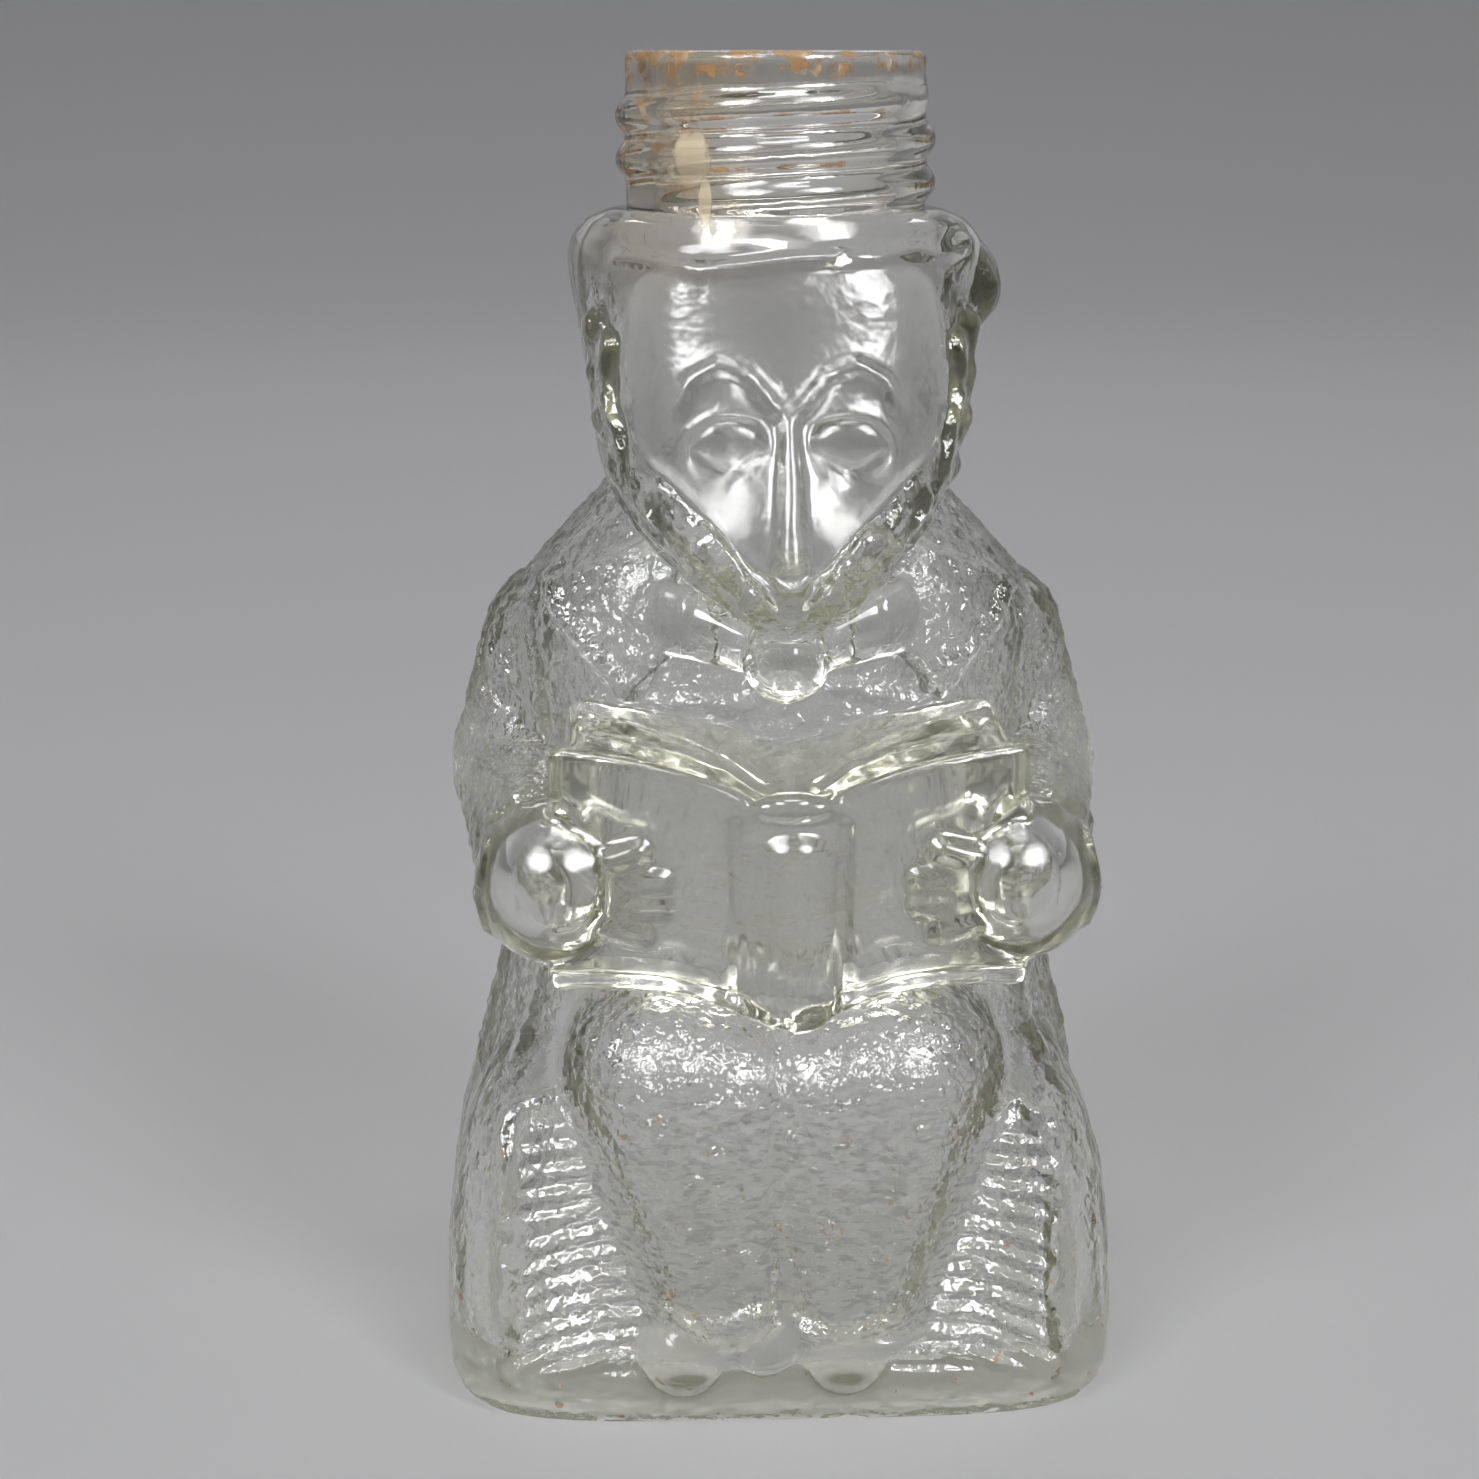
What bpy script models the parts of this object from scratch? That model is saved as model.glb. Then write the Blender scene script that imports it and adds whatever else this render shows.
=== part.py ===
"""A figural glass candy bottle: a storybook animal in a coat and bow tie, seated on a
stump and reading an open book, under a screw-thread neck.

The bottle is one piece of mould-blown glass. Its outer skin is the sum of simple rounded
forms that are melted together on a fine grid, its cavity is the same main forms made
smaller by the wall, and the neck is turned and carries a raised thread.

Metres, +Z up. The origin is the centre of the base, and the figure faces -Y.
"""

from collections import namedtuple
from math import copysign, cos, pi, radians, sin

import bmesh
import bpy
from mathutils import Matrix, Vector

MM = 0.001

# Whole bottle
WALL = 3.1 * MM
FLOOR_THICKNESS = 4.6 * MM
SKIN_GRAIN = 0.8 * MM
CAVITY_GRAIN = 1.5 * MM
SKIN_TRIANGLES = 8800
CAVITY_TRIANGLES = 1300
SKIN_SMOOTH_STEPS = 2
CAVITY_SMOOTH_STEPS = 8
CUT_OVERRUN = 4.0 * MM

# Neck finish
LIP_RADIUS = 14.2 * MM
BORE_RADIUS = 11.4 * MM
NECK_LENGTH = 15.0 * MM
NECK_ROOT = 6.0 * MM
NECK_SINK = 0.4 * MM
LIP_ROUNDING = 0.6 * MM
NECK_SIDES = 40
THREAD_PITCH = 4.05 * MM
THREAD_DEPTH = 0.95 * MM
THREAD_WIDTH = 2.9 * MM
THREAD_TURNS = 2.5
THREAD_DROP = 3.8 * MM
THREAD_START_SHARE = 0.06
THREAD_FADE_SHARE = 0.08
THREAD_STEPS = 34
THREAD_SIDES = 8

# Stump that the figure sits on
SEAT_HEIGHT = 37.0 * MM
SEAT_HALF_WIDTH = 32.5 * MM
SEAT_FRONT = 26.0 * MM
SEAT_BACK = 24.0 * MM
SEAT_SQUARENESS = 5.0
BARK_EDGE_RADIUS = 1.05 * MM
BARK_EDGE_WAVE = 0.7 * MM
BARK_EDGE_WAVES = 9
BARK_EDGE_FOOT = 6.6 * MM
BARK_EDGE_HEAD = 28.4 * MM

# Coat, from the hips to the collar
TORSO_FOOT = 25.0 * MM
TORSO_HEIGHT = 66.0 * MM
TORSO_HALF_WIDTH = 27.0 * MM
TORSO_FRONT = 17.0 * MM
TORSO_BACK = 22.0 * MM
TORSO_SQUARENESS = 2.6

# Head, from the chin to the shoulder of the bottle
HEAD_FOOT = 75.2 * MM
HEAD_HEIGHT = 37.2 * MM
HEAD_HALF_WIDTH = 19.7 * MM
HEAD_FRONT = 26.6 * MM
HEAD_BACK = 18.8 * MM
HEAD_SQUARENESS = 2.3
LOBE_RADIUS = 5.0 * MM
LOBE_DEPTH = 7.0 * MM
LOBE_SPREAD = 14.7 * MM
LOBE_DROP = 7.0 * MM
LOBE_REACH = 3.0 * MM
LOBE_OFFSET = 1.6 * MM

# Face, a heart-shaped mask that stands proud of the head
FACE_RISE = 3.2 * MM
FACE_DROP = 4.0 * MM
FACE_HALF_WIDTH = 14.8 * MM
FACE_FRONT = 27.6 * MM
FACE_ROOT = 6.0 * MM
FACE_SQUARENESS = 2.8
BROW_RADIUS = 0.95 * MM
EYE_RADIUS = 3.3 * MM
NOSE_RADIUS = 1.75 * MM

# Fur at the sides of the face
RUFF_TUFTS = 6
RUFF_RADIUS = 1.7 * MM
RUFF_TIP_RADIUS = 0.8 * MM
RUFF_LENGTH = 5.0 * MM
RUFF_FOOT_RISE = 4.0 * MM
RUFF_HEAD_DROP = 8.2 * MM

# Collar, bow tie and lapels
KNOT_RADIUS = 4.0 * MM
KNOT_HEIGHT = 72.6 * MM
KNOT_PROUD = 5.4 * MM
BOW_SPREAD = 10.7 * MM
BOW_RISE = 3.2 * MM
BOW_HALF_HEIGHT = 3.6 * MM
BOW_THICKNESS = 1.9 * MM
LAPEL_SPREAD = 21.7 * MM
LAPEL_HEIGHT = 77.2 * MM
LAPEL_TIP_SPREAD = 14.8 * MM
LAPEL_TIP_HEIGHT = 69.0 * MM
LAPEL_INNER_SPREAD = 11.6 * MM
LAPEL_INNER_HEIGHT = 72.8 * MM
LAPEL_TOP_SPREAD = 10.6 * MM
LAPEL_TOP_HEIGHT = 82.0 * MM
LAPEL_EDGE = 1.1 * MM
LAPEL_PROUD = 0.8 * MM

# Arms and hands
SHOULDER_SPREAD = 21.0 * MM
SHOULDER_HEIGHT = 70.8 * MM
SHOULDER_RADIUS = 7.5 * MM
ELBOW_SPREAD = 25.3 * MM
ELBOW_HEIGHT = 58.0 * MM
ELBOW_RADIUS = 6.6 * MM
ARM_SETBACK = 2.0 * MM
CUFF_RADIUS = 7.0 * MM
CUFF_LENGTH = 2.0 * MM
HAND_SPREAD = 21.0 * MM
HAND_REACH = 22.4 * MM
HAND_HEIGHT = 52.6 * MM
HAND_RADIUS = 7.9 * MM
FINGER_COUNT = 4
FINGER_RADIUS = 1.35 * MM
FINGER_LENGTH = 2.4 * MM
FINGER_PITCH = 2.5 * MM

# Open book, its covers towards the viewer
BOOK_HALF_WIDTH = 21.0 * MM
BOOK_FOOT = 41.6 * MM
BOOK_HEIGHT = 19.6 * MM
BOOK_TOP_RISE = 3.8 * MM
BOOK_FOOT_RISE = 2.2 * MM
BOOK_FRONT = 28.6 * MM
BOOK_SWEEP = 2.6 * MM
COVER_RADIUS = 0.95 * MM
SPINE_RADIUS = 3.2 * MM
SPINE_PROUD = 1.0 * MM
SPINE_DROP = 2.4 * MM
PAGE_INSET = 1.5 * MM
PAGE_DEPTH = 9.0 * MM
PAGE_RISE = 1.5 * MM

# Legs and shoes
HIP_SPREAD = 11.6 * MM
HIP_HEIGHT = 34.0 * MM
HIP_REACH = 6.0 * MM
HIP_RADIUS = 10.0 * MM
KNEE_SPREAD = 11.0 * MM
KNEE_HEIGHT = 31.8 * MM
KNEE_REACH = 17.4 * MM
KNEE_RADIUS = 10.3 * MM
SHIN_SPREAD = 9.9 * MM
SHIN_HEIGHT = 23.5 * MM
SHIN_REACH = 18.4 * MM
SHIN_RADIUS = 9.2 * MM
ANKLE_SPREAD = 7.9 * MM
ANKLE_HEIGHT = 11.6 * MM
ANKLE_REACH = 22.4 * MM
ANKLE_RADIUS = 5.8 * MM
LEG_INNER_SPREAD = 4.4 * MM
LEG_INNER_DROP = 1.2 * MM
HEM_THICKNESS = 1.3 * MM
HEM_PROUD = 0.5 * MM
SHOE_SPREAD = 7.6 * MM
SHOE_OFFSET = -2.2 * MM
SHOE_HEIGHT = 7.2 * MM
SHOE_REACH = 24.4 * MM
SHOE_RADIUS = 4.5 * MM
SHOE_LENGTH = 6.0 * MM
HEEL_HEIGHT = 8.6 * MM
HEEL_RADIUS = 4.0 * MM

# Heights that follow from the sizes above
HEAD_TOP = HEAD_FOOT + HEAD_HEIGHT
BOTTLE_HEIGHT = HEAD_TOP - NECK_SINK + NECK_LENGTH
LOBE_HEIGHT = HEAD_TOP - LOBE_DROP
FACE_FOOT = HEAD_FOOT + FACE_RISE
FACE_HEIGHT = HEAD_TOP - FACE_DROP - FACE_FOOT
RUFF_FOOT = HEAD_FOOT + RUFF_FOOT_RISE
RUFF_RISE = HEAD_TOP - RUFF_HEAD_DROP - RUFF_FOOT

# Sections of each lofted form, from its foot up: height, half width, front and back, each
# as a share of that form's own size. A back below zero lies in front of the axis.
SEAT_SECTION_SHARES = (
    (-0.06, 0.930, 0.930, 0.930),
    (0.00, 0.950, 0.955, 0.955),
    (0.033, 0.985, 0.990, 0.985),
    (0.08, 0.996, 1.000, 0.996),
    (0.145, 1.000, 1.000, 1.000),
    (0.18, 1.000, 0.962, 1.000),
    (0.38, 1.000, 0.935, 1.000),
    (0.57, 0.968, 0.900, 1.000),
    (0.70, 0.930, 0.870, 0.990),
    (0.767, 0.895, 0.840, 0.970),
    (0.81, 0.870, 0.770, 0.950),
    (0.89, 0.840, 0.600, 0.900),
    (1.00, 0.760, 0.400, 0.800),
)
TORSO_SECTION_SHARES = (
    (0.00, 1.100, 0.95, 1.00),
    (0.055, 1.105, 0.97, 1.02),
    (0.16, 1.035, 1.00, 1.03),
    (0.30, 0.950, 1.03, 1.02),
    (0.50, 0.900, 1.00, 1.00),
    (0.65, 0.950, 0.96, 0.99),
    (0.74, 0.955, 0.92, 0.95),
    (0.80, 0.880, 0.87, 0.90),
    (0.865, 0.740, 0.80, 0.84),
    (0.925, 0.600, 0.72, 0.78),
    (1.00, 0.500, 0.62, 0.72),
)
HEAD_SECTION_SHARES = (
    (0.00, 0.06, 0.940, -0.80),
    (0.035, 0.18, 0.985, -0.66),
    (0.08, 0.31, 1.000, -0.47),
    (0.145, 0.52, 0.990, -0.16),
    (0.225, 0.695, 0.965, 0.43),
    (0.295, 0.790, 0.930, 0.74),
    (0.385, 0.855, 0.885, 0.88),
    (0.505, 0.895, 0.825, 0.93),
    (0.665, 0.930, 0.765, 0.97),
    (0.775, 0.975, 0.735, 1.00),
    (0.88, 1.000, 0.715, 0.99),
    (0.935, 0.975, 0.690, 0.95),
    (0.975, 0.905, 0.640, 0.88),
    (1.00, 0.790, 0.560, 0.80),
)
FACE_SECTION_SHARES = (
    (0.00, 0.07, 0.975, 1.0),
    (0.07, 0.20, 0.995, 1.0),
    (0.16, 0.38, 0.990, 1.0),
    (0.285, 0.65, 0.945, 1.0),
    (0.42, 0.90, 0.885, 1.0),
    (0.57, 1.00, 0.825, 1.0),
    (0.785, 0.99, 0.755, 1.0),
    (0.935, 0.92, 0.715, 1.0),
    (1.00, 0.80, 0.685, 1.0),
)
# Places on the face: across as a share of its half width, up as a share of its height
BROW_PLACE_SHARES = (
    (0.66, 0.575),
    (0.60, 0.655),
    (0.42, 0.705),
    (0.24, 0.670),
    (0.05, 0.560),
)
EYE_PLACE_SHARES = (0.37, 0.46)
EYE_FORM_SHARES = (1.15, 0.42, 0.95)
NOSE_PLACE_SHARES = ((0.0, 0.56), (0.0, 0.36), (0.0, 0.12))
NOSE_TAPER_SHARES = (0.45, 0.75, 1.0)
# Where the fingers lie on a cover, from the spine to its edge
FINGER_SHARE = 0.70
FINGER_SPREAD_SHARE = 0.72
FINGER_TAPER_SHARE = 0.8
# Rows of fur, as shares of the way from the face's edge to the head's outline
RUFF_ROW_SHARES = (0.22, 0.56)
# The raised edge of the stump's front face, as a share of its half width
BARK_EDGE_SHARE = 0.80
BALL_STEPS = 14

Section = namedtuple("Section", "height half_width front back")


def sections_of(shares, foot, height, half_width, front, back, inset=0.0):
    """The sections of a lofted form, each drawn in by inset."""
    return [
        Section(
            foot + up * height,
            wide * half_width - inset,
            ahead * front - inset,
            behind * back - inset,
        )
        for up, wide, ahead, behind in shares
    ]


def section_at(sections, height):
    """The section of a lofted form at any height, between its own."""
    low = sections[0]
    for high in sections[1:]:
        if height <= high.height:
            break
        low = high
    span = max(high.height - low.height, SKIN_GRAIN)
    along = min(max((height - low.height) / span, 0.0), 1.0)
    return Section(*(a + (b - a) * along for a, b in zip(low, high)))


def front_of(sections, squareness, across, height):
    """How far in front of the axis a lofted form's skin lies, at a place seen from the front."""
    section = section_at(sections, height)
    share = min(abs(across) / section.half_width, 0.98)
    middle = (section.front - section.back) / 2
    reach = (section.front + section.back) / 2
    return middle + reach * (1 - share**squareness) ** (1 / squareness)


def seat_sections(inset=0.0):
    return sections_of(
        SEAT_SECTION_SHARES, 0.0, SEAT_HEIGHT, SEAT_HALF_WIDTH, SEAT_FRONT, SEAT_BACK, inset
    )


def torso_sections(inset=0.0):
    return sections_of(
        TORSO_SECTION_SHARES,
        TORSO_FOOT,
        TORSO_HEIGHT,
        TORSO_HALF_WIDTH,
        TORSO_FRONT,
        TORSO_BACK,
        inset,
    )


def head_sections(inset=0.0):
    return sections_of(
        HEAD_SECTION_SHARES,
        HEAD_FOOT,
        HEAD_HEIGHT,
        HEAD_HALF_WIDTH,
        HEAD_FRONT,
        HEAD_BACK,
        inset,
    )


def face_sections(inset=0.0):
    return sections_of(
        FACE_SECTION_SHARES,
        FACE_FOOT,
        FACE_HEIGHT,
        FACE_HALF_WIDTH,
        FACE_FRONT,
        -FACE_ROOT,
        inset,
    )


def on_face(across_share, up_share, side=1):
    """A point on the face's skin, at shares of its half width and height."""
    across = side * across_share * FACE_HALF_WIDTH
    height = FACE_FOOT + up_share * FACE_HEIGHT
    ahead = front_of(face_sections(), FACE_SQUARENESS, across, height)
    return Vector((across, -ahead, height))


def on_chest(across, height, lift=0.0):
    """A point on the coat's front, or raised from it by lift."""
    ahead = front_of(torso_sections(), TORSO_SQUARENESS, across, height)
    return Vector((across, -(ahead + lift), height))


def add_loft(blank, sections, squareness, steps=40):
    """Adds a closed form through flat rings, each squared off by the same power."""
    power = 2 / squareness
    rings = []
    for section in sections:
        middle = (section.back - section.front) / 2
        reach = (section.back + section.front) / 2
        ring = []
        for step in range(steps):
            turn = 2 * pi * step / steps
            across, along = cos(turn), sin(turn)
            x = section.half_width * copysign(abs(across) ** power, across)
            y = middle + reach * copysign(abs(along) ** power, along)
            ring.append(blank.verts.new((x, y, section.height)))
        rings.append(ring)
    for low, high in zip(rings, rings[1:]):
        for step in range(steps):
            after = (step + 1) % steps
            blank.faces.new((low[step], low[after], high[after], high[step]))
    blank.faces.new(rings[0][::-1])
    blank.faces.new(rings[-1])


def add_form(blank, form):
    """Adds one finished form to the others and frees it."""
    mesh = bpy.data.meshes.new("form")
    form.to_mesh(mesh)
    form.free()
    blank.from_mesh(mesh)
    bpy.data.meshes.remove(mesh)


def place_ball(form, centre, radii, steps=BALL_STEPS):
    """Makes a ball or an ellipsoid."""
    if not hasattr(radii, "__len__"):
        radii = (radii,) * 3
    place = Matrix.Translation(centre) @ Matrix.Diagonal((*radii, 1))
    bmesh.ops.create_uvsphere(
        form, u_segments=steps, v_segments=steps // 2, radius=1.0, matrix=place
    )


def add_ball(blank, centre, radii):
    """Adds a ball, or an ellipsoid where there are three radii."""
    form = bmesh.new()
    place_ball(form, centre, radii)
    add_form(blank, form)


def add_hull(blank, balls):
    """Adds the tight skin around several balls, each a centre and its radius or radii."""
    form = bmesh.new()
    for centre, radii in balls:
        place_ball(form, centre, radii)
    bmesh.ops.delete(form, geom=form.faces[:], context="FACES_ONLY")
    bmesh.ops.convex_hull(form, input=form.verts[:], use_existing_faces=False)
    spare = [edge for edge in form.edges if not edge.link_faces]
    bmesh.ops.delete(form, geom=spare, context="EDGES")
    loose = [point for point in form.verts if not point.link_faces]
    bmesh.ops.delete(form, geom=loose, context="VERTS")
    add_form(blank, form)


def add_limb(blank, balls):
    """Adds a limb through several balls, each pair joined by its own tight skin."""
    for pair in zip(balls, balls[1:]):
        add_hull(blank, pair)


def add_face(blank):
    """Brow arches, lowered eyes and a straight nose, raised on the face's skin."""
    nose = [on_face(*place) for place in NOSE_PLACE_SHARES]
    add_limb(
        blank,
        [(place, NOSE_RADIUS * taper) for place, taper in zip(nose, NOSE_TAPER_SHARES)],
    )
    for side in (-1, 1):
        brow = [on_face(*place, side=side) for place in BROW_PLACE_SHARES]
        add_limb(blank, [(place, BROW_RADIUS) for place in brow])
        eye = [EYE_RADIUS * share for share in EYE_FORM_SHARES]
        add_ball(blank, on_face(*EYE_PLACE_SHARES, side=side), eye)


def on_ruff(row_share, height, side):
    """A point on the head's skin, between the face's edge and the head's outline."""
    inner = section_at(face_sections(), height).half_width
    outer = section_at(head_sections(), height).half_width
    across = inner + (outer - inner) * row_share
    ahead = front_of(head_sections(), HEAD_SQUARENESS, across, height)
    return Vector((side * across, -ahead, height))


def add_ruff(blank):
    """Two rows of tufts from the temples to the chin, and the lobes above them."""
    for side in (-1, 1):
        for row, row_share in enumerate(RUFF_ROW_SHARES):
            for tuft in range(RUFF_TUFTS):
                rise = RUFF_RISE * (tuft + row / len(RUFF_ROW_SHARES)) / RUFF_TUFTS
                root = on_ruff(row_share, RUFF_FOOT + rise, side)
                tip = on_ruff(row_share, RUFF_FOOT + rise - RUFF_LENGTH, side)
                add_hull(blank, [(root, RUFF_RADIUS), (tip, RUFF_TIP_RADIUS)])
        lobe = Vector((LOBE_OFFSET + side * LOBE_SPREAD, -LOBE_REACH, LOBE_HEIGHT))
        add_ball(blank, lobe, (LOBE_RADIUS, LOBE_DEPTH, LOBE_RADIUS))


def add_collar(blank):
    """The bow tie under the chin, and the lapels of the coat."""
    knot = on_chest(0, KNOT_HEIGHT, KNOT_PROUD)
    add_ball(blank, knot, KNOT_RADIUS)
    lapel = (
        (LAPEL_SPREAD, LAPEL_HEIGHT),
        (LAPEL_TIP_SPREAD, LAPEL_TIP_HEIGHT),
        (LAPEL_INNER_SPREAD, LAPEL_INNER_HEIGHT),
        (LAPEL_TOP_SPREAD, LAPEL_TOP_HEIGHT),
    )
    for side in (-1, 1):
        end = on_chest(side * BOW_SPREAD, KNOT_HEIGHT + BOW_RISE, KNOT_PROUD - KNOT_RADIUS)
        loop = (BOW_THICKNESS, BOW_THICKNESS, BOW_HALF_HEIGHT)
        add_hull(blank, [(knot, BOW_THICKNESS), (end, loop)])
        places = [on_chest(side * across, height, LAPEL_PROUD) for across, height in lapel]
        add_hull(blank, [(place, LAPEL_EDGE) for place in places])


def arm_balls(side, inset=0.0):
    """Shoulder, elbow and cuff of one sleeve, each drawn in by inset."""
    shoulder = Vector((side * SHOULDER_SPREAD, ARM_SETBACK, SHOULDER_HEIGHT))
    elbow = Vector((side * ELBOW_SPREAD, ARM_SETBACK, ELBOW_HEIGHT))
    hand = Vector((side * HAND_SPREAD, -HAND_REACH, HAND_HEIGHT))
    cuff = hand + (elbow - hand).normalized() * HAND_RADIUS
    return [
        (shoulder, SHOULDER_RADIUS - inset),
        (elbow, ELBOW_RADIUS - inset),
        (cuff, ELBOW_RADIUS - inset),
    ]


def add_arms(blank):
    """Sleeves with turned cuffs, round hands, and the fingers fanned on the book's covers."""
    for side in (-1, 1):
        arm = arm_balls(side)
        add_limb(blank, arm)
        elbow, cuff = arm[1][0], arm[2][0]
        back = cuff + (elbow - cuff).normalized() * CUFF_LENGTH
        add_hull(blank, [(cuff, CUFF_RADIUS), (back, CUFF_RADIUS)])
        hand = Vector((side * HAND_SPREAD, -HAND_REACH, HAND_HEIGHT))
        add_ball(blank, hand, HAND_RADIUS)
        ahead = on_cover(FINGER_SHARE).y - COVER_RADIUS
        for finger in range(FINGER_COUNT):
            place = finger - (FINGER_COUNT - 1) / 2
            rise = place * FINGER_PITCH
            reach = HAND_RADIUS + FINGER_LENGTH - abs(rise) * FINGER_TAPER_SHARE
            root = Vector((hand.x - side * HAND_RADIUS / 2, ahead, hand.z))
            root.z += rise * FINGER_SPREAD_SHARE
            tip = Vector((hand.x - side * reach, ahead, hand.z + rise))
            add_hull(blank, [(root, FINGER_RADIUS), (tip, FINGER_RADIUS)])


def on_cover(share, side=1, height=0.0):
    """A place on the middle of a cover, at a share of the way from the spine to its edge."""
    across = side * share * BOOK_HALF_WIDTH
    return Vector((across, -(BOOK_FRONT - BOOK_SWEEP * share), height))


def add_book(blank):
    """Two covers, the spine between them, and the pages behind each cover."""
    top = BOOK_FOOT + BOOK_HEIGHT
    ahead = BOOK_FRONT - SPINE_RADIUS + SPINE_PROUD + COVER_RADIUS
    spine_top = Vector((0, -ahead, top - SPINE_RADIUS))
    spine_foot = Vector((0, -ahead, BOOK_FOOT - SPINE_DROP + SPINE_RADIUS))
    add_hull(blank, [(spine_top, SPINE_RADIUS), (spine_foot, SPINE_RADIUS)])
    for side in (-1, 1):
        foot_edges = (on_cover(0, side, BOOK_FOOT), on_cover(1, side, BOOK_FOOT + BOOK_FOOT_RISE))
        top_edges = (on_cover(0, side, top), on_cover(1, side, top + BOOK_TOP_RISE))
        add_hull(blank, [(edge, COVER_RADIUS) for edge in foot_edges + top_edges])
        pages = []
        for edge in foot_edges:
            front = edge + Vector((-side * PAGE_INSET, 0, PAGE_INSET))
            pages += [front, front + Vector((0, PAGE_DEPTH, 0))]
        for edge in top_edges:
            front = edge - Vector((side * PAGE_INSET, 0, 0))
            pages += [front, front + Vector((0, PAGE_DEPTH, PAGE_RISE))]
        add_hull(blank, [(page, COVER_RADIUS) for page in pages])


def leg_balls(side, inset=0.0):
    """Hip, knee, shin and ankle of one trouser leg, each drawn in by inset."""
    return [
        (Vector((side * HIP_SPREAD, -HIP_REACH, HIP_HEIGHT)), HIP_RADIUS - inset),
        (Vector((side * KNEE_SPREAD, -KNEE_REACH, KNEE_HEIGHT)), KNEE_RADIUS - inset),
        (Vector((side * SHIN_SPREAD, -SHIN_REACH, SHIN_HEIGHT)), SHIN_RADIUS - inset),
        (Vector((side * ANKLE_SPREAD, -ANKLE_REACH, ANKLE_HEIGHT)), ANKLE_RADIUS - inset),
    ]


def inner_leg_balls(side):
    """The same leg along its inner seam, where the two legs meet in a crease."""
    return [
        (Vector((side * LEG_INNER_SPREAD, place.y, place.z - LEG_INNER_DROP)), radius)
        for place, radius in leg_balls(side)
    ]


def add_legs(blank):
    """Trouser legs that meet in a crease, their hems, and the rounded shoes under them."""
    for side in (-1, 1):
        outer, inner = leg_balls(side), inner_leg_balls(side)
        for step in range(len(outer) - 1):
            add_hull(blank, outer[step : step + 2] + inner[step : step + 2])
        ankle, radius = outer[-1]
        hem = Vector((ankle.x, ankle.y, ankle.z - radius / 2))
        around = radius + HEM_PROUD
        add_ball(blank, hem, (around, around, HEM_THICKNESS))
        toe = Vector((SHOE_OFFSET + side * SHOE_SPREAD, -SHOE_REACH, SHOE_HEIGHT))
        heel = toe + Vector((0, SHOE_LENGTH, 0))
        add_hull(blank, [(toe, SHOE_RADIUS), (heel, SHOE_RADIUS)])
    between = Vector((SHOE_OFFSET, -SHOE_REACH, HEEL_HEIGHT))
    add_ball(blank, between, HEEL_RADIUS)


def add_bark_edges(blank):
    """The wavy raised edge where each side of the stump meets its front face."""
    sections = seat_sections()
    steps = 2 * BARK_EDGE_WAVES
    for side in (-1, 1):
        edge = []
        for step in range(steps + 1):
            height = BARK_EDGE_FOOT + (BARK_EDGE_HEAD - BARK_EDGE_FOOT) * step / steps
            section = section_at(sections, height)
            across = section.half_width * BARK_EDGE_SHARE
            across += BARK_EDGE_WAVE * (-0.5 if step % 2 else 0.5)
            ahead = front_of(sections, SEAT_SQUARENESS, across, height)
            edge.append((Vector((side * across, -ahead, height)), BARK_EDGE_RADIUS))
        add_limb(blank, edge)


def outer_blank():
    """Every form of the outer skin, overlapping and not yet melted together."""
    blank = bmesh.new()
    add_loft(blank, seat_sections(), SEAT_SQUARENESS)
    add_loft(blank, torso_sections(), TORSO_SQUARENESS)
    add_loft(blank, head_sections(), HEAD_SQUARENESS)
    add_loft(blank, face_sections(), FACE_SQUARENESS)
    add_face(blank)
    add_ruff(blank)
    add_collar(blank)
    add_arms(blank)
    add_book(blank)
    add_legs(blank)
    add_bark_edges(blank)
    return blank


def inner_sections(sections):
    """Those sections of an inset form that still have room between their walls."""
    return [part for part in sections if min(part.half_width, part.front + part.back) > WALL]


def cavity_blank():
    """The main forms drawn in by the wall: the space that holds the sweets."""
    blank = bmesh.new()
    seat = seat_sections(WALL)
    floor = section_at(seat, FLOOR_THICKNESS)._replace(height=FLOOR_THICKNESS)
    above = [section for section in seat if section.height > FLOOR_THICKNESS]
    add_loft(blank, [floor, *above], SEAT_SQUARENESS)
    add_loft(blank, torso_sections(WALL), TORSO_SQUARENESS)
    add_loft(blank, inner_sections(head_sections(WALL)), HEAD_SQUARENESS)
    for side in (-1, 1):
        add_limb(blank, leg_balls(side, WALL)[:3])
        add_limb(blank, arm_balls(side, WALL))
    return blank


def as_object(name, form):
    """A mesh object made from a bmesh, with its faces pointing out."""
    bmesh.ops.recalc_face_normals(form, faces=form.faces)
    mesh = bpy.data.meshes.new(name)
    form.to_mesh(mesh)
    form.free()
    made = bpy.data.objects.new(name, mesh)
    bpy.context.scene.collection.objects.link(made)
    return made


def settle(part):
    """Replaces an object's mesh by what its modifiers make of it."""
    bpy.context.view_layer.update()
    graph = bpy.context.evaluated_depsgraph_get()
    mesh = bpy.data.meshes.new_from_object(part.evaluated_get(graph))
    part.modifiers.clear()
    part.data = mesh


def melt(part, grain, smooth_steps, triangles):
    """Melts overlapping forms into one skin, softens it and thins its triangles."""
    remesh = part.modifiers.new("melt", "REMESH")
    remesh.mode = "VOXEL"
    remesh.voxel_size = grain
    soften = part.modifiers.new("soften", "SMOOTH")
    soften.factor = 0.5
    soften.iterations = smooth_steps
    settle(part)
    part.data.calc_loop_triangles()
    thin = part.modifiers.new("thin", "DECIMATE")
    thin.ratio = min(1.0, triangles / len(part.data.loop_triangles))
    settle(part)


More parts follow.
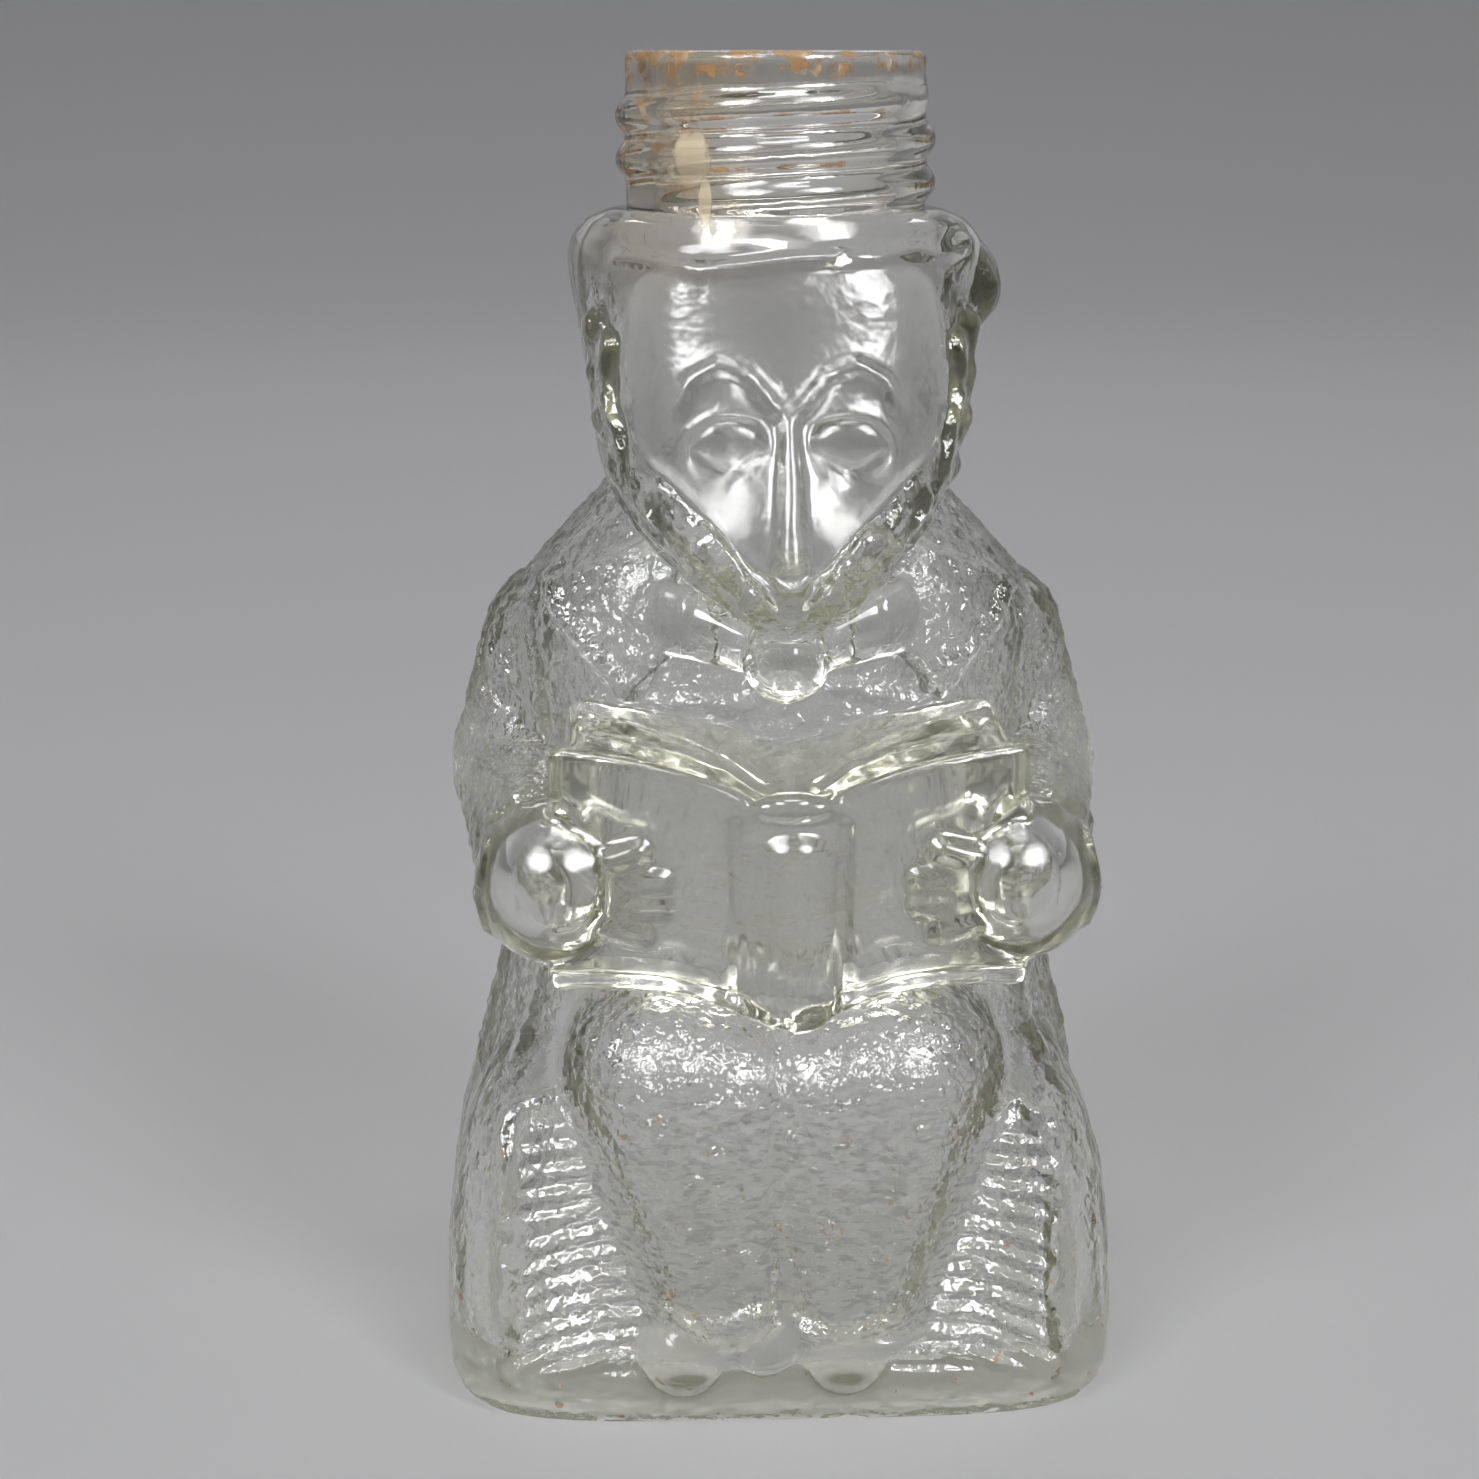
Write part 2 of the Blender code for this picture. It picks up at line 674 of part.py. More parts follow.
def turned(name, profile, sides):
    """A solid turned about the bottle's axis, from a profile of radius and height."""
    form = bmesh.new()
    rings = [
        [
            form.verts.new(
                (radius * cos(2 * pi * s / sides), radius * sin(2 * pi * s / sides), height)
            )
            for s in range(sides)
        ]
        for radius, height in profile
    ]
    for low, high in zip(rings, rings[1:]):
        for s in range(sides):
            after = (s + 1) % sides
            form.faces.new((low[s], low[after], high[after], high[s]))
    form.faces.new(rings[0][::-1])
    form.faces.new(rings[-1])
    return as_object(name, form)


def neck_blank():
    """The neck without its bore, rooted in the crown of the head."""
    foot = BOTTLE_HEIGHT - NECK_LENGTH - NECK_ROOT
    profile = (
        (LIP_RADIUS, foot),
        (LIP_RADIUS, BOTTLE_HEIGHT - LIP_ROUNDING),
        (LIP_RADIUS - LIP_ROUNDING * 0.3, BOTTLE_HEIGHT - LIP_ROUNDING * 0.3),
        (LIP_RADIUS - LIP_ROUNDING, BOTTLE_HEIGHT),
    )
    return turned("neck", profile, NECK_SIDES)


def thread_ridge():
    """The raised thread: a half-round ridge on a right-hand helix, faded at both ends."""
    form = bmesh.new()
    rings = []
    count = round(THREAD_TURNS * THREAD_STEPS)
    for step in range(count + 1):
        share = step / count
        fade = min(1.0, share / THREAD_FADE_SHARE, (1 - share) / THREAD_FADE_SHARE)
        turn = 2 * pi * (THREAD_START_SHARE - THREAD_TURNS * share)
        height = BOTTLE_HEIGHT - THREAD_DROP - THREAD_TURNS * THREAD_PITCH * share
        reach = LIP_RADIUS - THREAD_DEPTH * (1.2 - fade)
        ring = []
        for side in range(THREAD_SIDES):
            angle = 2 * pi * (side + 0.5) / THREAD_SIDES
            radius = reach + THREAD_DEPTH * (0.2 + 0.85 * cos(angle))
            rise = THREAD_WIDTH / 2 * sin(angle)
            ring.append(form.verts.new((radius * cos(turn), radius * sin(turn), height + rise)))
        rings.append(ring)
    for low, high in zip(rings, rings[1:]):
        for side in range(THREAD_SIDES):
            after = (side + 1) % THREAD_SIDES
            form.faces.new((low[side], low[after], high[after], high[side]))
    form.faces.new(rings[0][::-1])
    form.faces.new(rings[-1])
    return as_object("thread", form)


def bore_cutter():
    """The bore, from inside the head to above the lip."""
    foot = BOTTLE_HEIGHT - NECK_LENGTH - NECK_ROOT
    top = BOTTLE_HEIGHT - LIP_ROUNDING
    profile = (
        (BORE_RADIUS, foot),
        (BORE_RADIUS, top),
        (BORE_RADIUS + LIP_ROUNDING, BOTTLE_HEIGHT),
        (BORE_RADIUS + LIP_ROUNDING, BOTTLE_HEIGHT + CUT_OVERRUN),
    )
    return turned("bore", profile, NECK_SIDES)


def foot_cutter():
    """What lies under the bottle's flat base."""
    form = bmesh.new()
    reach = SEAT_HALF_WIDTH + CUT_OVERRUN
    size = Matrix.Diagonal((2 * reach, 2 * reach, 2 * CUT_OVERRUN, 1))
    place = Matrix.Translation((0, 0, -CUT_OVERRUN))
    bmesh.ops.create_cube(form, size=1.0, matrix=place @ size)
    return as_object("foot_cut", form)


def combine(part, other, operation):
    """Joins or cuts a part by another solid, which is then no longer needed."""
    boolean = part.modifiers.new(other.name, "BOOLEAN")
    boolean.operation = operation
    boolean.object = other
    settle(part)
    bpy.data.objects.remove(other)


def clear_glass():
    """Clear glass with the faint warm grey of its thick places."""
    glass = bpy.data.materials.new("clear_glass")
    glass.use_nodes = True
    shader = glass.node_tree.nodes["Principled BSDF"]
    shader.inputs["Base Color"].default_value = (0.93, 0.93, 0.90, 1.0)
    shader.inputs["Roughness"].default_value = 0.03
    shader.inputs["Metallic"].default_value = 0.0
    shader.inputs["IOR"].default_value = 1.52
    shader.inputs["Transmission Weight"].default_value = 1.0
    return glass


def build_bottle():
    """The whole bottle, as one solid of glass with its cavity open at the lip."""
    bottle = as_object("glass_bottle", outer_blank())
    melt(bottle, SKIN_GRAIN, SKIN_SMOOTH_STEPS, SKIN_TRIANGLES)
    neck = neck_blank()
    combine(neck, thread_ridge(), "UNION")
    combine(bottle, neck, "UNION")
    cavity = as_object("cavity", cavity_blank())
    melt(cavity, CAVITY_GRAIN, CAVITY_SMOOTH_STEPS, CAVITY_TRIANGLES)
    combine(cavity, bore_cutter(), "UNION")
    combine(bottle, cavity, "DIFFERENCE")
    combine(bottle, foot_cutter(), "DIFFERENCE")
    bottle.data.materials.clear()
    bottle.data.materials.append(clear_glass())
    bottle.data.shade_smooth()
    bottle.data.set_sharp_from_angle(angle=radians(40))
    return bottle


def main():
    for stale in list(bpy.data.objects):
        bpy.data.objects.remove(stale)
    build_bottle()


main()
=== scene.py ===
"""Figural glass candy bottle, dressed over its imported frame.

A woodland animal in a coat and bow tie sits on a stump and reads an open book, under a
screw-thread neck. The whole bottle is one piece of clear pressed glass, so one closed skin
replaces the frame's node. Its forms are modelled one by one, melted together on a fine
grid, given the relief that the mould cut, joined to a turned neck and hollowed out.

Metres, +Z up. The origin is the centre of the base, and the figure faces -Y.
"""

import logging
import math
import sys
from dataclasses import astuple, dataclass, field
from enum import Enum
from typing import Iterable, Sequence

import bpy
import numpy as np
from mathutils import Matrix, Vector, noise
from mathutils.bvhtree import BVHTree
from mathutils.kdtree import KDTree

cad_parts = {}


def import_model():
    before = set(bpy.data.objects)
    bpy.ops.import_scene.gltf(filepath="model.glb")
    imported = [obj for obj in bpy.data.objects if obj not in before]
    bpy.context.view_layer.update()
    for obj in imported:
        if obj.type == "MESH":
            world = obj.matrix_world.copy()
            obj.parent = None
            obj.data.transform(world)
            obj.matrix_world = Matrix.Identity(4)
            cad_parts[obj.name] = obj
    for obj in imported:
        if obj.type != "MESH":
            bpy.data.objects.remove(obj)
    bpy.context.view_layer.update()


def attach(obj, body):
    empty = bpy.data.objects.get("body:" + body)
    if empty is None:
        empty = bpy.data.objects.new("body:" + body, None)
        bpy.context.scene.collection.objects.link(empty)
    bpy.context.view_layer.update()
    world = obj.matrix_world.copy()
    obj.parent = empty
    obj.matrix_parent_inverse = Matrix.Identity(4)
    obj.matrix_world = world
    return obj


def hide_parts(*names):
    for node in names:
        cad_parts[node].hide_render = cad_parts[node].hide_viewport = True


LOG = logging.getLogger("candy_bottle")
MM = 0.001
WIDEST_SHARE = 0.98


class Zone(Enum):
    """What the mould cut into a form's skin."""

    SMOOTH = 0
    FACE = 1
    CLOTH = 2
    BARK = 3
    FUR = 4


DRESSED = (Zone.FACE, Zone.CLOTH, Zone.BARK, Zone.FUR)


# Steps of modelling


def deselect() -> None:
    """Leaves edit mode and deselects everything."""
    if bpy.context.object is not None and bpy.context.object.mode != "OBJECT":
        bpy.ops.object.mode_set(mode="OBJECT")
    bpy.ops.object.select_all(action="DESELECT")


def take(item: bpy.types.Object) -> None:
    """Makes one object the selected and active one.

    Args:
        item: The object.
    """
    deselect()
    item.select_set(True)
    bpy.context.view_layer.objects.active = item


def open_whole(item: bpy.types.Object) -> None:
    """Opens an object in edit mode with all of it selected.

    Args:
        item: The object.
    """
    take(item)
    bpy.ops.object.mode_set(mode="EDIT")
    bpy.ops.mesh.select_all(action="SELECT")


def close_solid() -> None:
    """Turns the open solid's faces outwards and leaves edit mode."""
    bpy.ops.mesh.select_all(action="SELECT")
    bpy.ops.mesh.normals_make_consistent(inside=False)
    bpy.ops.object.mode_set(mode="OBJECT")


def put(name: str, data: bpy.types.ID) -> bpy.types.Object:
    """Puts an object with this data in the scene.

    Args:
        name: The object's name.
        data: Its mesh, light or camera.

    Returns:
        The object.
    """
    item = bpy.data.objects.new(name, data)
    bpy.context.scene.collection.objects.link(item)
    return item


def on_side(place: Sequence[float], side: int) -> Vector:
    """A place on one side of the figure, where side is -1 or 1."""
    return Vector((side * place[0], *place[1:]))


def start_blank(name: str) -> bpy.types.Object:
    """Adds an empty mesh at the origin and opens it in edit mode.

    Args:
        name: The mesh object's name.

    Returns:
        The object, open in edit mode.
    """
    deselect()
    bpy.ops.object.add(type="MESH", location=(0, 0, 0))
    blank = bpy.context.object
    blank.name = name
    bpy.ops.object.mode_set(mode="EDIT")
    return blank


def press_ball(centre: Vector, radii: float | Sequence[float], steps: int = 20) -> None:
    """Adds a ball or an ellipsoid to the open blank.

    Args:
        centre: Where the ball's middle lies.
        radii: One radius, or three along X, Y and Z.
        steps: How many sides it has.
    """
    if isinstance(radii, (int, float)):
        radii = (radii, radii, radii)
    bpy.ops.mesh.primitive_uv_sphere_add(
        segments=steps, ring_count=steps // 2, radius=1.0, location=centre, scale=radii
    )


def ball(name: str, centre: Vector, radii: float | Sequence[float]) -> bpy.types.Object:
    """Makes one ball or ellipsoid.

    Args:
        name: The form's name.
        centre: Where its middle lies.
        radii: One radius, or three along X, Y and Z.

    Returns:
        The finished form.
    """
    blank = start_blank(name)
    press_ball(centre, radii, 28)
    bpy.ops.object.mode_set(mode="OBJECT")
    return blank


def hull(name: str, balls: Iterable[tuple], steps: int = 20) -> bpy.types.Object:
    """Makes the tight skin around several balls.

    Args:
        name: The form's name.
        balls: A centre and a radius, or three radii, for each ball.
        steps: How many sides each ball has.

    Returns:
        The finished form.
    """
    blank = start_blank(name)
    for centre, radii in balls:
        press_ball(centre, radii, steps)
    bpy.ops.mesh.select_all(action="SELECT")
    bpy.ops.mesh.convex_hull()
    bpy.ops.object.mode_set(mode="OBJECT")
    return blank


def limb(name: str, balls: Sequence[tuple], steps: int = 20) -> list[bpy.types.Object]:
    """Makes a limb through several balls, each pair joined by its own tight skin."""
    return [hull(name, pair, steps) for pair in zip(balls, balls[1:])]


def join(name: str, items: Sequence[bpy.types.Object]) -> bpy.types.Object:
    """Joins several forms in one object.

    Args:
        name: The joined object's name.
        items: The objects.

    Returns:
        The first of them, which now holds them all.
    """
    deselect()
    for item in items:
        item.select_set(True)
    bpy.context.view_layer.objects.active = items[0]
    bpy.ops.object.join()
    items[0].name = name
    return items[0]


def apply_modifiers(item: bpy.types.Object) -> None:
    """Applies every modifier of an object, from the first to the last.

    Args:
        item: The object.
    """
    take(item)
    for modifier in list(item.modifiers):
        bpy.ops.object.modifier_apply(modifier=modifier.name)


def triangles(item: bpy.types.Object) -> int:
    """Counts an object's triangles."""
    item.data.calc_loop_triangles()
    return len(item.data.loop_triangles)


def soften(item: bpy.types.Object, steps: int) -> None:
    """Smooths a skin by so many steps.

    Args:
        item: The skin.
        steps: How often it is smoothed.
    """
    smooth = item.modifiers.new("soften", "SMOOTH")
    smooth.factor, smooth.iterations = 0.5, steps
    apply_modifiers(item)


def melt(item: bpy.types.Object, grain: float, smooth_steps: int) -> None:
    """Melts overlapping solids into one closed skin of so fine a grain.

    Args:
        item: The solids, joined in one object.
        grain: The size of the grid's cells.
        smooth_steps: How often the skin is smoothed.
    """
    remesh = item.modifiers.new("melt", "REMESH")
    remesh.mode, remesh.voxel_size, remesh.adaptivity = "VOXEL", grain, 0.0
    apply_modifiers(item)
    soften(item, smooth_steps)


def thin_out(item: bpy.types.Object, most: int, smooth_steps: int = 1) -> None:
    """Thins a mesh down to so many triangles, where it has more, and evens it out.

    Args:
        item: The mesh object.
        most: How many triangles it may keep.
        smooth_steps: How often it is smoothed after that.
    """
    if triangles(item) > most:
        thin = item.modifiers.new("thin", "DECIMATE")
        thin.ratio = most / triangles(item)
        apply_modifiers(item)
        soften(item, smooth_steps)


def combine(item: bpy.types.Object, other: bpy.types.Object, operation: str) -> None:
    """Joins or cuts an object by another, which is then thrown away.

    Args:
        item: The object that stays.
        other: The object that it is joined to or cut by.
        operation: UNION or DIFFERENCE.
    """
    boolean = item.modifiers.new("combine", "BOOLEAN")
    boolean.operation = operation
    boolean.solver = "EXACT"
    boolean.object = other
    apply_modifiers(item)
    bpy.data.objects.remove(other)


def turned(name: str, profile: Sequence[tuple[float, float]], sides: int) -> bpy.types.Object:
    """Turns a solid about the bottle's axis.

    Args:
        name: The solid's name.
        profile: Radius and height, from the foot up.
        sides: How many sides it has.

    Returns:
        The closed solid.
    """
    radius, height = profile[0]
    deselect()
    bpy.ops.mesh.primitive_circle_add(
        vertices=sides, radius=radius, location=(0, 0, height), fill_type="NGON"
    )
    item = bpy.context.object
    item.name = name
    bpy.ops.object.transform_apply(location=True, rotation=True, scale=True)
    open_whole(item)
    for wide, high in profile[1:]:
        rise = {"value": (0, 0, high - height)}
        bpy.ops.mesh.extrude_region_move(TRANSFORM_OT_translate=rise)
        share = wide / radius
        bpy.ops.transform.resize(value=(share, share, 1), center_override=(0, 0, high))
        radius, height = wide, high
    close_solid()
    return item


def read_points(mesh: bpy.types.Mesh, name: str) -> np.ndarray:
    """The places or the normals of a mesh's points, as rows of three numbers.

    Args:
        mesh: The mesh.
        name: co for the places, and normal for the normals.

    Returns:
        One row for each point.
    """
    values = np.empty(len(mesh.vertices) * 3, dtype=np.float32)
    mesh.vertices.foreach_get(name, values)
    return values.reshape(-1, 3)


def face_tree(mesh: bpy.types.Mesh) -> BVHTree:
    """A search tree of a mesh's faces."""
    faces = [tuple(face.vertices) for face in mesh.polygons]
    return BVHTree.FromPolygons(read_points(mesh, "co").tolist(), faces)


def point_tree(points: Sequence[Sequence[float]]) -> KDTree:
    """A search tree of many points.

    Args:
        points: The points.

    Returns:
        The tree, which gives a point's index.
    """
    tree = KDTree(len(points))
    for index, point in enumerate(points):
        tree.insert(point, index)
    tree.balance()
    return tree


# Lofted forms


@dataclass(frozen=True)
class Section:
    """One flat ring of a lofted form: its height, half width, front and back."""

    height: float
    half_width: float
    front: float
    back: float

    @property
    def middle(self) -> float:
        """Where the ring's middle lies along Y."""
        return (self.back - self.front) / 2

    @property
    def reach(self) -> float:
        """Half of the ring's depth."""
        return (self.back + self.front) / 2


@dataclass(frozen=True)
class Loft:
    """A closed form through flat rings, each squared off by the same power.

    The shares give each ring's height, half width, front and back, as shares of the size.
    """

    name: str
    foot: float
    height: float
    half_width: float
    front: float
    back: float
    squareness: float
    shares: tuple[tuple[float, float, float, float], ...]
    sides: int = 96

    def sections(self, inset: float = 0.0) -> list[Section]:
        """The form's rings, each drawn in by inset.

        Args:
            inset: How far each ring is drawn in.

        Returns:
            The rings, from the foot up.
        """
        return [
            Section(
                self.foot + up * self.height,
                wide * self.half_width - inset,
                ahead * self.front - inset,
                behind * self.back - inset,
            )
            for up, wide, ahead, behind in self.shares
        ]

    def at(self, height: float, inset: float = 0.0) -> Section:
        """The ring at any height, between the form's own.

        Args:
            height: Where the ring lies along Z.
            inset: How far it is drawn in.

        Returns:
            The ring.
        """
        rings = self.sections(inset)
        pairs = list(zip(rings, rings[1:]))
        low, high = next((pair for pair in pairs if height <= pair[1].height), pairs[-1])
        along = (height - low.height) / (high.height - low.height)
        along = min(max(along, 0.0), 1.0)
        return Section(*(a + (b - a) * along for a, b in zip(astuple(low), astuple(high))))

    def skin(self, across: float, height: float, lift: float = 0.0) -> Vector:
        """A point on the form's front, seen from the front.

        Args:
            across: Where it lies along X.
            height: Where it lies along Z.
            lift: How far it is raised from the skin.

        Returns:
            The point.
        """
        ring = self.at(height)
        share = min(abs(across) / ring.half_width, WIDEST_SHARE)
        power = self.squareness
        ahead = ring.reach * (1 - share**power) ** (1 / power) - ring.middle
        return Vector((across, -(ahead + lift), height))

    def build(self, rings: Sequence[Section] | None = None) -> bpy.types.Object:
        """Extrudes the form from ring to ring and closes both ends.

        Args:
            rings: The rings, where they aren't the form's own.

        Returns:
            The closed form.
        """
        rings = list(rings or self.sections())
        deselect()
        bpy.ops.mesh.primitive_circle_add(vertices=self.sides, radius=1.0, location=(0, 0, 0))
        item = bpy.context.object
        item.name = self.name
        power = 2 / self.squareness
        for point in item.data.vertices:
            point.co.x = math.copysign(abs(point.co.x) ** power, point.co.x)
            point.co.y = math.copysign(abs(point.co.y) ** power, point.co.y)
        open_whole(item)
        now = rings[0]
        bpy.ops.transform.resize(value=(now.half_width, now.reach, 1), center_override=(0, 0, 0))
        bpy.ops.transform.translate(value=(0, now.middle, now.height))
        for ring in rings[1:]:
            way = {"value": (0, ring.middle - now.middle, ring.height - now.height)}
            bpy.ops.mesh.extrude_edges_move(TRANSFORM_OT_translate=way)
            bpy.ops.transform.resize(
                value=(ring.half_width / now.half_width, ring.reach / now.reach, 1),
                center_override=(0, ring.middle, ring.height),
            )
            now = ring
        bpy.ops.mesh.edge_face_add()
        bpy.ops.mesh.select_all(action="DESELECT")
        bpy.ops.mesh.select_non_manifold()
        bpy.ops.mesh.edge_face_add()
        close_solid()
        return item


STUMP_FORM = Loft(
    "stump",
    foot=0.0,
    height=37.0 * MM,
    half_width=32.5 * MM,
    front=26.0 * MM,
    back=24.0 * MM,
    squareness=5.0,
    shares=(
        (-0.06, 0.930, 0.930, 0.930),
        (0.00, 0.950, 0.955, 0.955),
        (0.033, 0.985, 0.990, 0.985),
        (0.08, 0.996, 1.000, 0.996),
        (0.145, 1.000, 1.000, 1.000),
        (0.18, 1.000, 0.962, 1.000),
        (0.38, 1.000, 0.935, 1.000),
        (0.57, 0.968, 0.900, 1.000),
        (0.70, 0.930, 0.870, 0.990),
        (0.767, 0.895, 0.840, 0.970),
        (0.81, 0.870, 0.770, 0.950),
        (0.89, 0.840, 0.600, 0.900),
        (1.00, 0.760, 0.400, 0.800),
    ),
)
COAT_FORM = Loft(
    "coat",
    foot=25.0 * MM,
    height=66.0 * MM,
    half_width=27.0 * MM,
    front=17.0 * MM,
    back=22.0 * MM,
    squareness=2.6,
    shares=(
        (0.00, 1.100, 0.95, 1.00),
        (0.055, 1.105, 0.97, 1.02),
        (0.16, 1.035, 1.00, 1.03),
        (0.30, 0.950, 1.03, 1.02),
        (0.50, 0.900, 1.00, 1.00),
        (0.65, 0.950, 0.96, 0.99),
        (0.74, 0.955, 0.92, 0.95),
        (0.80, 0.880, 0.87, 0.90),
        (0.865, 0.740, 0.80, 0.84),
        (0.925, 0.600, 0.72, 0.78),
        (1.00, 0.500, 0.62, 0.72),
    ),
)
HEAD_FORM = Loft(
    "head",
    foot=75.2 * MM,
    height=37.2 * MM,
    half_width=19.7 * MM,
    front=26.6 * MM,
    back=18.8 * MM,
    squareness=2.3,
    shares=(
        (0.00, 0.06, 0.940, -0.80),
        (0.035, 0.18, 0.985, -0.66),
        (0.08, 0.31, 1.000, -0.47),
        (0.145, 0.52, 0.990, -0.16),
        (0.225, 0.695, 0.965, 0.43),
        (0.295, 0.790, 0.930, 0.74),
        (0.385, 0.855, 0.885, 0.88),
        (0.505, 0.895, 0.825, 0.93),
        (0.665, 0.930, 0.765, 0.97),
        (0.775, 0.975, 0.735, 1.00),
        (0.88, 1.000, 0.715, 0.99),
        (0.935, 0.975, 0.690, 0.95),
        (0.975, 0.905, 0.640, 0.88),
        (1.00, 0.790, 0.560, 0.80),
    ),
)
FACE_FORM = Loft(
    "face",
    foot=78.4 * MM,
    height=30.0 * MM,
    half_width=14.8 * MM,
    front=27.6 * MM,
    back=-6.0 * MM,
    squareness=2.8,
    shares=(
        (0.00, 0.07, 0.975, 1.0),
        (0.07, 0.20, 0.995, 1.0),
        (0.16, 0.38, 0.990, 1.0),
        (0.285, 0.65, 0.945, 1.0),
        (0.42, 0.90, 0.885, 1.0),
        (0.57, 1.00, 0.825, 1.0),
        (0.785, 0.99, 0.755, 1.0),
        (0.935, 0.92, 0.715, 1.0),
        (1.00, 0.80, 0.685, 1.0),
    ),
)


# Sub-assemblies of the figure


@dataclass
class Stump:
    """The stump that the figure sits on, with the wavy edges of its front panel."""

    edge_radius: float = 1.05 * MM
    edge_wave: float = 0.7 * MM
    edge_waves: int = 9
    edge_foot: float = 6.6 * MM
    edge_head: float = 28.4 * MM
    edge_share: float = 0.80

    def build(self) -> list[bpy.types.Object]:
        """Models the stump's forms.

        Returns:
            The forms, not yet joined.
        """
        items = [STUMP_FORM.build()]
        steps = 2 * self.edge_waves
        for side in (-1, 1):
            edge = []
            for step in range(steps + 1):
                height = self.edge_foot + (self.edge_head - self.edge_foot) * step / steps
                across = STUMP_FORM.at(height).half_width * self.edge_share
                across += self.edge_wave * (-0.5 if step % 2 else 0.5)
                edge.append((STUMP_FORM.skin(side * across, height), self.edge_radius))
            items += limb("stump_edge", edge, 12)
        return items


@dataclass
class Head:
    """The head under the neck: its two side lobes and its tufts of fur."""

    lobe: tuple[float, float, float] = (5.0 * MM, 7.0 * MM, 5.0 * MM)
    lobe_place: tuple[float, float, float] = (14.7 * MM, -3.0 * MM, 105.4 * MM)
    lobe_offset: float = 1.6 * MM
    tufts: int = 6
    tuft_rows: tuple[float, ...] = (0.22, 0.56)
    tuft_radius: float = 1.7 * MM
    tuft_tip: float = 0.8 * MM
    tuft_length: float = 5.0 * MM
    tuft_foot: float = 79.2 * MM
    tuft_rise: float = 25.0 * MM

    def on_fur(self, share: float, height: float, side: int) -> Vector:
        """A point on the head's skin, between the face's edge and the head's outline.

        Args:
            share: 0 at the face's edge, and 1 at the outline.
            height: Where the point lies along Z.
            side: -1 or 1.

        Returns:
            The point.
        """
        inner = FACE_FORM.at(height).half_width
        outer = HEAD_FORM.at(height).half_width
        return HEAD_FORM.skin(side * (inner + (outer - inner) * share), height)

    def build(self) -> list[bpy.types.Object]:
        """Models the head's forms.

        Returns:
            The forms, not yet joined.
        """
        items = [HEAD_FORM.build()]
        for side in (-1, 1):
            for row, share in enumerate(self.tuft_rows):
                for tuft in range(self.tufts):
                    rise = self.tuft_rise * (tuft + row / len(self.tuft_rows)) / self.tufts
                    root = self.on_fur(share, self.tuft_foot + rise, side)
                    tip = self.on_fur(share, self.tuft_foot + rise - self.tuft_length, side)
                    items.append(hull("tuft", [(root, self.tuft_radius), (tip, self.tuft_tip)]))
            across, along, height = self.lobe_place
            place = Vector((self.lobe_offset + side * across, along, height))
            items.append(ball("lobe", place, self.lobe))
        return items


@dataclass
class Face:
    """A plain heart-shaped face: brow arches, lowered eyes and a straight nose."""

    brow_radius: float = 0.7 * MM
    eye: tuple[float, float, float] = (3.8 * MM, 1.1 * MM, 3.0 * MM)
    eye_place: tuple[float, float] = (0.37, 0.46)
    nose_radius: float = 1.6 * MM
    nose: tuple[tuple[float, float], ...] = ((0.56, 0.45), (0.36, 0.75), (0.12, 1.0))
    brow: tuple[tuple[float, float], ...] = (
        (0.66, 0.575),
        (0.60, 0.655),
        (0.42, 0.705),
        (0.24, 0.670),
        (0.05, 0.560),
    )

    def at(self, across: float, up: float, side: int = 1) -> Vector:
        """A point on the face, at shares of its half width and height."""
        height = FACE_FORM.foot + up * FACE_FORM.height
        return FACE_FORM.skin(side * across * FACE_FORM.half_width, height)

    def build(self) -> list[bpy.types.Object]:
        """Models the face's forms.

        Returns:
            The forms, not yet joined.
        """
        ridge = [(self.at(0, up), self.nose_radius * taper) for up, taper in self.nose]
        items = [FACE_FORM.build(), *limb("nose", ridge)]
        for side in (-1, 1):
            arch = [(self.at(*place, side), self.brow_radius) for place in self.brow]
            items += limb("brow", arch)
            items.append(ball("eye", self.at(*self.eye_place, side), self.eye))
        return items


@dataclass
class Collar:
    """The bow tie under the chin, and the lapels of the coat."""

    knot_radius: float = 4.0 * MM
    knot_height: float = 72.6 * MM
    knot_proud: float = 5.4 * MM
    bow_spread: float = 10.7 * MM
    bow_rise: float = 3.2 * MM
    bow_end: tuple[float, float, float] = (1.9 * MM, 1.9 * MM, 3.6 * MM)
    lapel: tuple[tuple[float, float], ...] = (
        (21.7 * MM, 77.2 * MM),
        (14.8 * MM, 69.0 * MM),
        (11.6 * MM, 72.8 * MM),
        (10.6 * MM, 82.0 * MM),
    )
    lapel_edge: float = 1.1 * MM
    lapel_proud: float = 0.8 * MM

    def tie(self) -> list[bpy.types.Object]:
        """Models the round knot and the two wings of the bow.

        Returns:
            The forms, not yet joined.
        """
        knot = COAT_FORM.skin(0, self.knot_height, self.knot_proud)
        items = [ball("knot", knot, self.knot_radius)]
        for side in (-1, 1):
            lift = self.knot_proud - self.knot_radius
            end = COAT_FORM.skin(side * self.bow_spread, self.knot_height + self.bow_rise, lift)
            items.append(hull("bow", [(knot, self.bow_end[0]), (end, self.bow_end)]))
        return items

    def lapels(self) -> list[bpy.types.Object]:
        """Models the two lapels.

        Returns:
            The forms, not yet joined.
        """
        items = []
        for side in (-1, 1):
            corners = [
                (COAT_FORM.skin(side * across, height, self.lapel_proud), self.lapel_edge)
                for across, height in self.lapel
            ]
            items.append(hull("lapel", corners))
        return items


